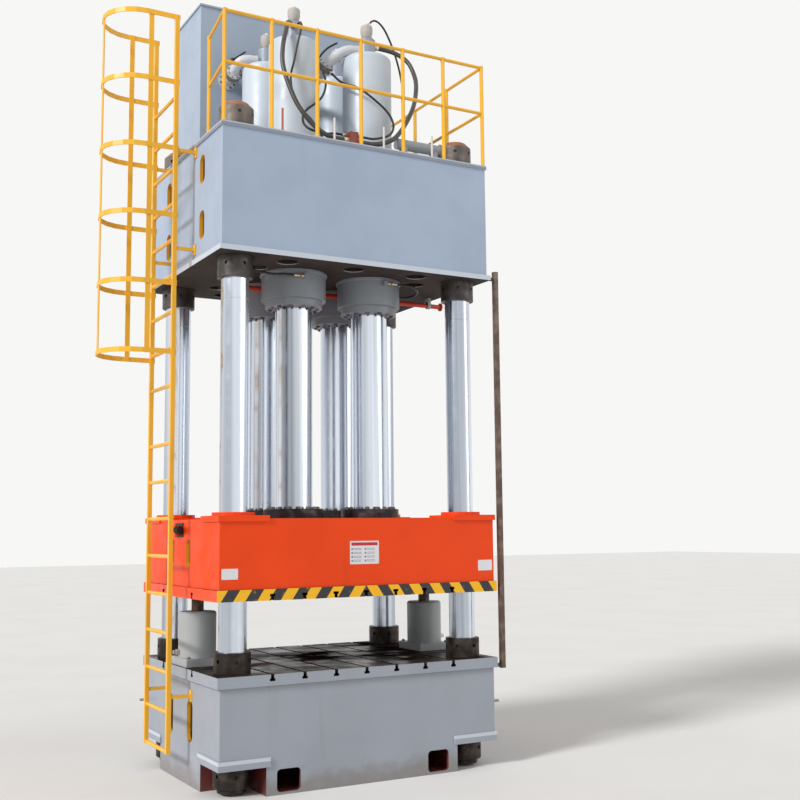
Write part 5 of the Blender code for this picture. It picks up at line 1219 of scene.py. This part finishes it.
def suction_pipe(side_name, port, reach, drop, shares, valve_point):
    node = "suction_pipe_" + side_name
    run = TANK_FRONT_Y - port.y
    knots = [port + Vector((-reach * x, run * y, -drop * z)) for x, y, z in shares]
    pipe, bolts, wafer = bmesh.new(), bmesh.new(), bmesh.new()
    put_tube(pipe, smooth_route(knots, PIPE_SPACING), PIPE_RADIUS)
    put_rod(pipe, port - Vector((PIPE_FLANGE_THICKNESS, 0, 0)), port, PIPE_FLANGE_RADIUS, DISC_SIDES)
    tank_face = Vector((knots[-1].x, TANK_FRONT_Y - NUT_GAP, knots[-1].z))
    out = Vector((0, -1, 0))
    flange_face = tank_face + out * PIPE_FLANGE_THICKNESS
    put_rod(pipe, flange_face, tank_face, TANK_FLANGE_RADIUS, DISC_SIDES)
    ring_radius = (PIPE_RADIUS + TANK_FLANGE_RADIUS) / 2 + TANK_BOLTS_OUT
    bolt_ring(bolts, flange_face, ring_radius, RING_BOLTS, out, LARGE_BOLT_SIZE)
    valve_at = knots[valve_point]
    along = (knots[valve_point + 1] - valve_at).normalized()
    half = along * WAFER_THICKNESS / 2
    put_rod(wafer, valve_at - half, valve_at + half, WAFER_RADIUS, WAFER_SIDES)
    put_flange_pair(pipe, bolts, valve_at, along, WAFER_THICKNESS / 2, WAFER_RADIUS - WAFER_LIP)
    stem_out = (UP - along * along.z).normalized()
    stem_top = valve_at + stem_out * (WAFER_RADIUS + WAFER_STEM_HEIGHT)
    put_rod(wafer, valve_at, stem_top, WAFER_STEM_RADIUS)
    collar_top = valve_at + stem_out * (WAFER_RADIUS + WAFER_STEM_HEIGHT * WAFER_COLLAR_SHARE)
    put_rod(wafer, valve_at, collar_top, WAFER_COLLAR_RADIUS, HEX_SIDES)
    add_shape(node + "_look", pipe, "pipe", node=node)
    add_shape("wafer_" + side_name, wafer, "wafer", node=node)
    add_shape("pipe_bolts_" + side_name, bolts, "bolt")


def add_suction_pipes():
    reach = CYLINDER_SPAN_X / 2
    port_z = BARREL_TOP_Z + PORT_HEIGHT
    left_port = Vector((-reach - PORT_REACH - NUT_GAP, CYLINDER_SPAN_Y / 2, port_z))
    suction_pipe("left", left_port, LEFT_REACH, LEFT_DROP, LEFT_ROUTE_SHARES, LEFT_VALVE_POINT)
    right_port = Vector((reach - PORT_REACH - NUT_GAP, -CYLINDER_SPAN_Y / 2, port_z))
    suction_pipe("right", right_port, RIGHT_REACH, RIGHT_DROP, RIGHT_ROUTE_SHARES, RIGHT_VALVE_POINT)


def add_pressure_main():
    top = Vector((MAIN_LEFT_X, 0, CROWN_LOW_Z - NUT_GAP))
    tip = Vector((MAIN_RIGHT_X, 0, MAIN_Z))
    thick_down = UP * MAIN_FLANGE_THICKNESS
    thick_across = Vector((MAIN_FLANGE_THICKNESS, 0, 0))
    bend = [
        Vector((MAIN_LEFT_X + MAIN_BEND * (1 - cosine), 0, MAIN_Z + MAIN_BEND * (1 - sine)))
        for sine, cosine in quarter_turn()]
    shape = bmesh.new()
    put_tube(shape, [top - thick_down / 2, *bend, tip - thick_across / 2], MAIN_RADIUS)
    put_rod(shape, top - thick_down, top, MAIN_FLANGE_RADIUS, TUBE_SIDES)
    put_rod(shape, tip - thick_across, tip, MAIN_FLANGE_RADIUS, TUBE_SIDES)
    add_shape("pressure_main_look", shape, "red", node="pressure_main")
    strap = bmesh.new()
    middle = Vector((MAIN_HANGER_X, 0, MAIN_Z))
    along = Vector((MAIN_HANGER_WIDTH / 2, 0, 0))
    low, high = middle - along, middle + along
    put_rod(strap, low, high, HANGER_RADIUS, TUBE_SIDES)
    put_box(strap, (low.x, -HANGER_RADIUS, MAIN_Z), (high.x, HANGER_RADIUS, top.z))
    add_shape("main_hanger", strap, "buffer", node="pressure_main")


def buffer(side_name, side_x):
    """A short cylinder on its pad, with the port on its outer side, and its rod."""
    node = "buffer_cylinder_" + side_name
    low_z, high_z, _ = heights_and_middle(node)
    at = Vector((side_x * BUFFER_X, 0, 0))
    pad_top = low_z + BUFFER_PAD_HEIGHT - NUT_GAP
    bore = BUFFER_ROD_RADIUS + BUFFER_CLEARANCE
    body = put_turned(bmesh.new(), [
        *chamfered(bore, BUFFER_RADIUS, high_z, BUFFER_CHAMFER),
        (BUFFER_RADIUS, pad_top + BUFFER_WELD_HEIGHT), (BUFFER_RADIUS + BUFFER_WELD_OUT, pad_top),
        (bore, pad_top),
    ], at, closed=True)
    half_x, half_y = BUFFER_PAD_WIDTH / 2, BUFFER_PAD_DEPTH / 2
    put_box(body, (at.x - half_x, -half_y, low_z), (at.x + half_x, half_y, pad_top))
    bevelled(add_shape(node + "_look", body, "buffer", node=node), PIECE_BEVEL)
    out = Vector((side_x, 0, 0))
    wall = Vector((at.x, 0, TABLE_TOP_Z + BUFFER_PORT_RISE)) + out * BUFFER_RADIUS
    port_tip = wall + out * BUFFER_PORT_REACH
    fitting = bmesh.new()
    put_rod(fitting, wall - out * BUFFER_PORT_SUNK, port_tip, BUFFER_PORT_RADIUS, TUBE_SIDES)
    nut_start, nut_end = wall + out * BUFFER_PORT_NUT_GAP, port_tip - out * BUFFER_PORT_NUT_BACK
    put_rod(fitting, nut_start, nut_end, BUFFER_PORT_NUT_RADIUS, HEX_SIDES)
    add_shape(node + "_port", fitting, "fitting", node=node)
    bolts = bmesh.new()
    for x in (BUFFER_BOLT_INSET - half_x, half_x - BUFFER_BOLT_INSET):
        for y in (BUFFER_BOLT_INSET - half_y, half_y - BUFFER_BOLT_INSET):
            put_hex_bolt(bolts, Vector((at.x + x, y, pad_top)), UP, *BUFFER_BOLT_SIZE)
    add_shape(node + "_bolts", bolts, "bolt", node=node)
    rod_node = "buffer_rod_" + side_name
    low_z, high_z, _ = heights_and_middle(rod_node)
    turned(rod_node + "_look", [
        *chamfered(0, BUFFER_ROD_RADIUS, high_z, EDGE), (BUFFER_ROD_RADIUS, low_z), (0, low_z),
    ], at, "rod", side_name + "_buffer_rod", "rod_steel", rod_node)


def right_lever():
    """The right valve's handle: a flat-ended hub and a rod that rises beside the pipe."""
    axis = RIGHT_LEVER_AXIS.normalized()
    shape = bmesh.new()
    put_rod(shape, RIGHT_LEVER_HUB, RIGHT_LEVER_HUB + axis * LEVER_HUB_HEIGHT, LEVER_HUB_RADIUS, TUBE_SIDES)
    middle = RIGHT_LEVER_HUB + axis * LEVER_HUB_HEIGHT / 2
    knots = [middle + Vector(offset) for offset in RIGHT_LEVER_OFFSETS]
    put_tube(shape, smooth_route(knots, LEVER_SPACING), LEVER_RADIUS, BOLT_SIDES)
    add_shape("right_lever_look", shape, "lever", "right_valve_lever", "valve_lever_right")


def add_hose_fittings():
    # A ferrule and a six-sided collar at each hose end, over what carries it.
    ferrules, collars = bmesh.new(), bmesh.new()
    for name, (radius, knots) in HOSE_ROUTES.items():
        for tip, inner, at_start in ((knots[0], knots[1], True), (knots[-1], knots[-2], False)):
            tip = Vector(tip)
            back = (tip - Vector(inner)).normalized()
            long_end = name.startswith("hose_cylinder") and at_start
            depth = CYLINDER_FITTING_DEPTH if long_end else FITTING_DEPTH
            put_rod(ferrules, tip + back * NUT_GAP, tip + back * depth, radius + FITTING_OVERSIZE)
            middle = tip + back * depth * COLLAR_PLACE_SHARE
            put_rod(collars, middle, middle + back * COLLAR_LENGTH, radius + COLLAR_OVERSIZE, HEX_SIDES)
    add_shape("hose_ferrules", ferrules, "fitting")
    add_shape("hose_collars", collars, "brass")


# Fixings on the slide's left side and on the tank

SWITCH_PLATE_Y = (-0.080, 0.107)
SWITCH_PLATE_Z = (1.927, 2.040)
SWITCH_PLATE_OUT = 0.012
SWITCH_RADIUS = 0.026
SWITCH_LENGTH = 0.095
SWITCH_OUT_SHARE = 0.80
SWITCH_PAST_PLATE = 0.010
SWITCH_KNOB_LENGTH = 0.012
SWITCH_KNOB_SHARE = 0.60
SWITCH_RING_PLACES = (0.020, 0.050, 0.080)
SWITCH_RING_WIDTH = 0.006
SWITCH_RING_SHARE = 1.12


def add_switch():
    """A plate with a small round switch on the slide's left side, under its top edge."""
    wall_x = -SLIDE_INSIDE_X - SLIDE_WALL_OUT
    face_x = wall_x - SWITCH_PLATE_OUT
    plate = bmesh.new()
    put_box(plate, (face_x, SWITCH_PLATE_Y[0], SWITCH_PLATE_Z[0]), (
        wall_x + SUNK, SWITCH_PLATE_Y[1], SWITCH_PLATE_Z[1]))
    bevelled(add_shape("switch_plate", plate, "lever", "slide"), PIECE_BEVEL)
    body = bmesh.new()
    along = Vector((0, 1, 0))
    start = Vector((
        face_x - SWITCH_RADIUS * SWITCH_OUT_SHARE, SWITCH_PLATE_Y[0] - SWITCH_PAST_PLATE,
        sum(SWITCH_PLATE_Z) / 2))
    put_rod(body, start, start + along * SWITCH_LENGTH, SWITCH_RADIUS, TUBE_SIDES)
    put_rod(body, start - along * SWITCH_KNOB_LENGTH, start, SWITCH_RADIUS * SWITCH_KNOB_SHARE)
    for place in SWITCH_RING_PLACES:
        ring = start + along * place
        put_rod(body, ring, ring + along * SWITCH_RING_WIDTH, SWITCH_RADIUS * SWITCH_RING_SHARE, TUBE_SIDES)
    add_shape("switch_body", body, "flange", "slide")


LID_BOLTS_X = 12
LID_BOLTS_Y = 5
LID_BOLT_INSET = 0.030
LID_BOLT_SUNK = 0.0005
LID_BOLT_SIZE = (0.010, 0.008)


def add_lid_bolts():
    """Bolts round the tank's lid."""
    low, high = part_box("oil_tank")
    first = low + Vector((LID_BOLT_INSET, LID_BOLT_INSET, 0))
    last = high - Vector((LID_BOLT_INSET, LID_BOLT_INSET, LID_BOLT_SUNK))
    places = []
    for index in range(LID_BOLTS_X):
        x = first.x + (last.x - first.x) * index / (LID_BOLTS_X - 1)
        places += [(x, first.y), (x, last.y)]
    for index in range(1, LID_BOLTS_Y - 1):
        y = first.y + (last.y - first.y) * index / (LID_BOLTS_Y - 1)
        places += [(first.x, y), (last.x, y)]
    bolts = bmesh.new()
    for x, y in places:
        put_hex_bolt(bolts, Vector((x, y, last.z)), UP, *LID_BOLT_SIZE)
    add_shape("tank_bolts", bolts, "bolt")


# Sign plates on the slide, bare or with generic marks

PLATES = (
    ("plate_left", -1.212, -1.081, 1.609, 1.690),
    ("plate_middle", -0.138, 0.122, 1.700, 1.883),
    ("plate_right", 1.073, 1.213, 1.620, 1.708),
)
PLATE_THICKNESS = 0.0015
PLATE_MARGIN = 0.012
PRINT_OUT = 0.0004
PRINT_SUNK = 0.0005
RIVET_RADII = (0.0025, 0.0015)
RIVET_HEIGHT = 0.001
RIVET_SIDES = 12
BAND_SHARE = 0.20
MARK_ROWS = 4
MARK_COLUMNS = 2
DOT_SIZE = 0.014
LINE_START = 0.021
LINE_HEIGHT = 0.0032
LINE_STEP = 0.005
LINE_LENGTH = 0.070


def put_print(shape, left, low_z, width, height):
    # A flat raised patch on the middle plate.
    outer_y = SLIDE_FRONT_Y - PLATE_THICKNESS
    put_box(shape, (left, outer_y - PRINT_OUT, low_z), (left + width, outer_y + PRINT_SUNK, low_z + height))


def plate(name, left, right, low_z, high_z):
    outer_y = SLIDE_FRONT_Y - PLATE_THICKNESS
    shape, rivets = bmesh.new(), bmesh.new()
    put_box(shape, (left, outer_y, low_z), (right, SLIDE_FRONT_Y + SUNK, high_z))
    add_shape(name, shape, "plate_white", "slide")
    wide, narrow = RIVET_RADII
    for x in (left + PLATE_MARGIN / 2, right - PLATE_MARGIN / 2):
        for z in (low_z + PLATE_MARGIN / 2, high_z - PLATE_MARGIN / 2):
            place = Vector((x, outer_y, z))
            put_rod(rivets, place, place - Vector((0, RIVET_HEIGHT, 0)), wide, RIVET_SIDES, narrow)
    add_shape(name + "_rivets", rivets, "bolt", "slide")


def plate_marks(left, right, low_z, high_z):
    """A red band over two columns of dots, each beside two plain lines."""
    band_z = high_z - BAND_SHARE * (high_z - low_z)
    width = right - left - 2 * PLATE_MARGIN
    band, dots, lines = bmesh.new(), bmesh.new(), bmesh.new()
    put_print(band, left + PLATE_MARGIN, band_z, width, high_z - PLATE_MARGIN - band_z)
    add_shape("plate_band", band, "plate_red", "slide")
    for row in range(MARK_ROWS):
        z = low_z + PLATE_MARGIN + (band_z - low_z - 2 * PLATE_MARGIN) * (row + 0.5) / MARK_ROWS
        for place in range(MARK_COLUMNS):
            x = left + PLATE_MARGIN + width * place / MARK_COLUMNS
            put_print(dots, x, z - DOT_SIZE / 2, DOT_SIZE, DOT_SIZE)
            for line_z in (z - LINE_STEP, z + LINE_STEP):
                put_print(lines, x + LINE_START, line_z - LINE_HEIGHT / 2, LINE_LENGTH, LINE_HEIGHT)
    add_shape("plate_dots", dots, "mark_grey", "slide")
    add_shape("plate_marks", lines, "mark_grey", "slide")


def add_plates():
    for row in PLATES:
        plate(*row)
    plate_marks(*PLATES[1][1:])


# Looks of the frame's own solids

NODE_LOOKS = {
    "bed_frame": "bed",
    "table_plate": "table",
    "crown_frame": "crown",
    "slide_frame": "slide",
    "slide_plate": "slide_plate",
    "oil_tank": "tank",
    "deck_railing": "yellow",
    "ladder_lower": "yellow",
    "ladder_upper": "yellow",
    "position_rail": "rail",
    "hose_block": "block",
    "valve_lever_left": "lever",
}

BEVELLED_NODES = (
    "crown_frame", "bed_frame", "slide_frame", "slide_plate", "table_plate", "oil_tank", "hose_block")


def dress_nodes():
    for node, look in NODE_LOOKS.items():
        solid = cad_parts[node]
        solid.data.materials.clear()
        solid.data.materials.append(LOOKS[look])
        if node in BEVELLED_NODES:
            bevelled(solid, NODE_BEVEL)


# The whole scene

set_world()
add_camera()
add_floor()
add_sun("key", SUN_FROM, SUN_STRENGTH, SUN_ANGLE_DEG)
add_sun("fill", FILL_FROM, FILL_STRENGTH, FILL_ANGLE_DEG)
for hose_name in HOSE_ROUTES:
    add_hose(hose_name)
dress_nodes()
add_columns()
add_cylinders()
add_suction_pipes()
right_lever()
add_pressure_main()
buffer("left", -1)
buffer("right", 1)
add_hose_fittings()
add_plates()
add_switch()
add_lid_bolts()

bpy.context.scene.view_settings.view_transform = "Standard"
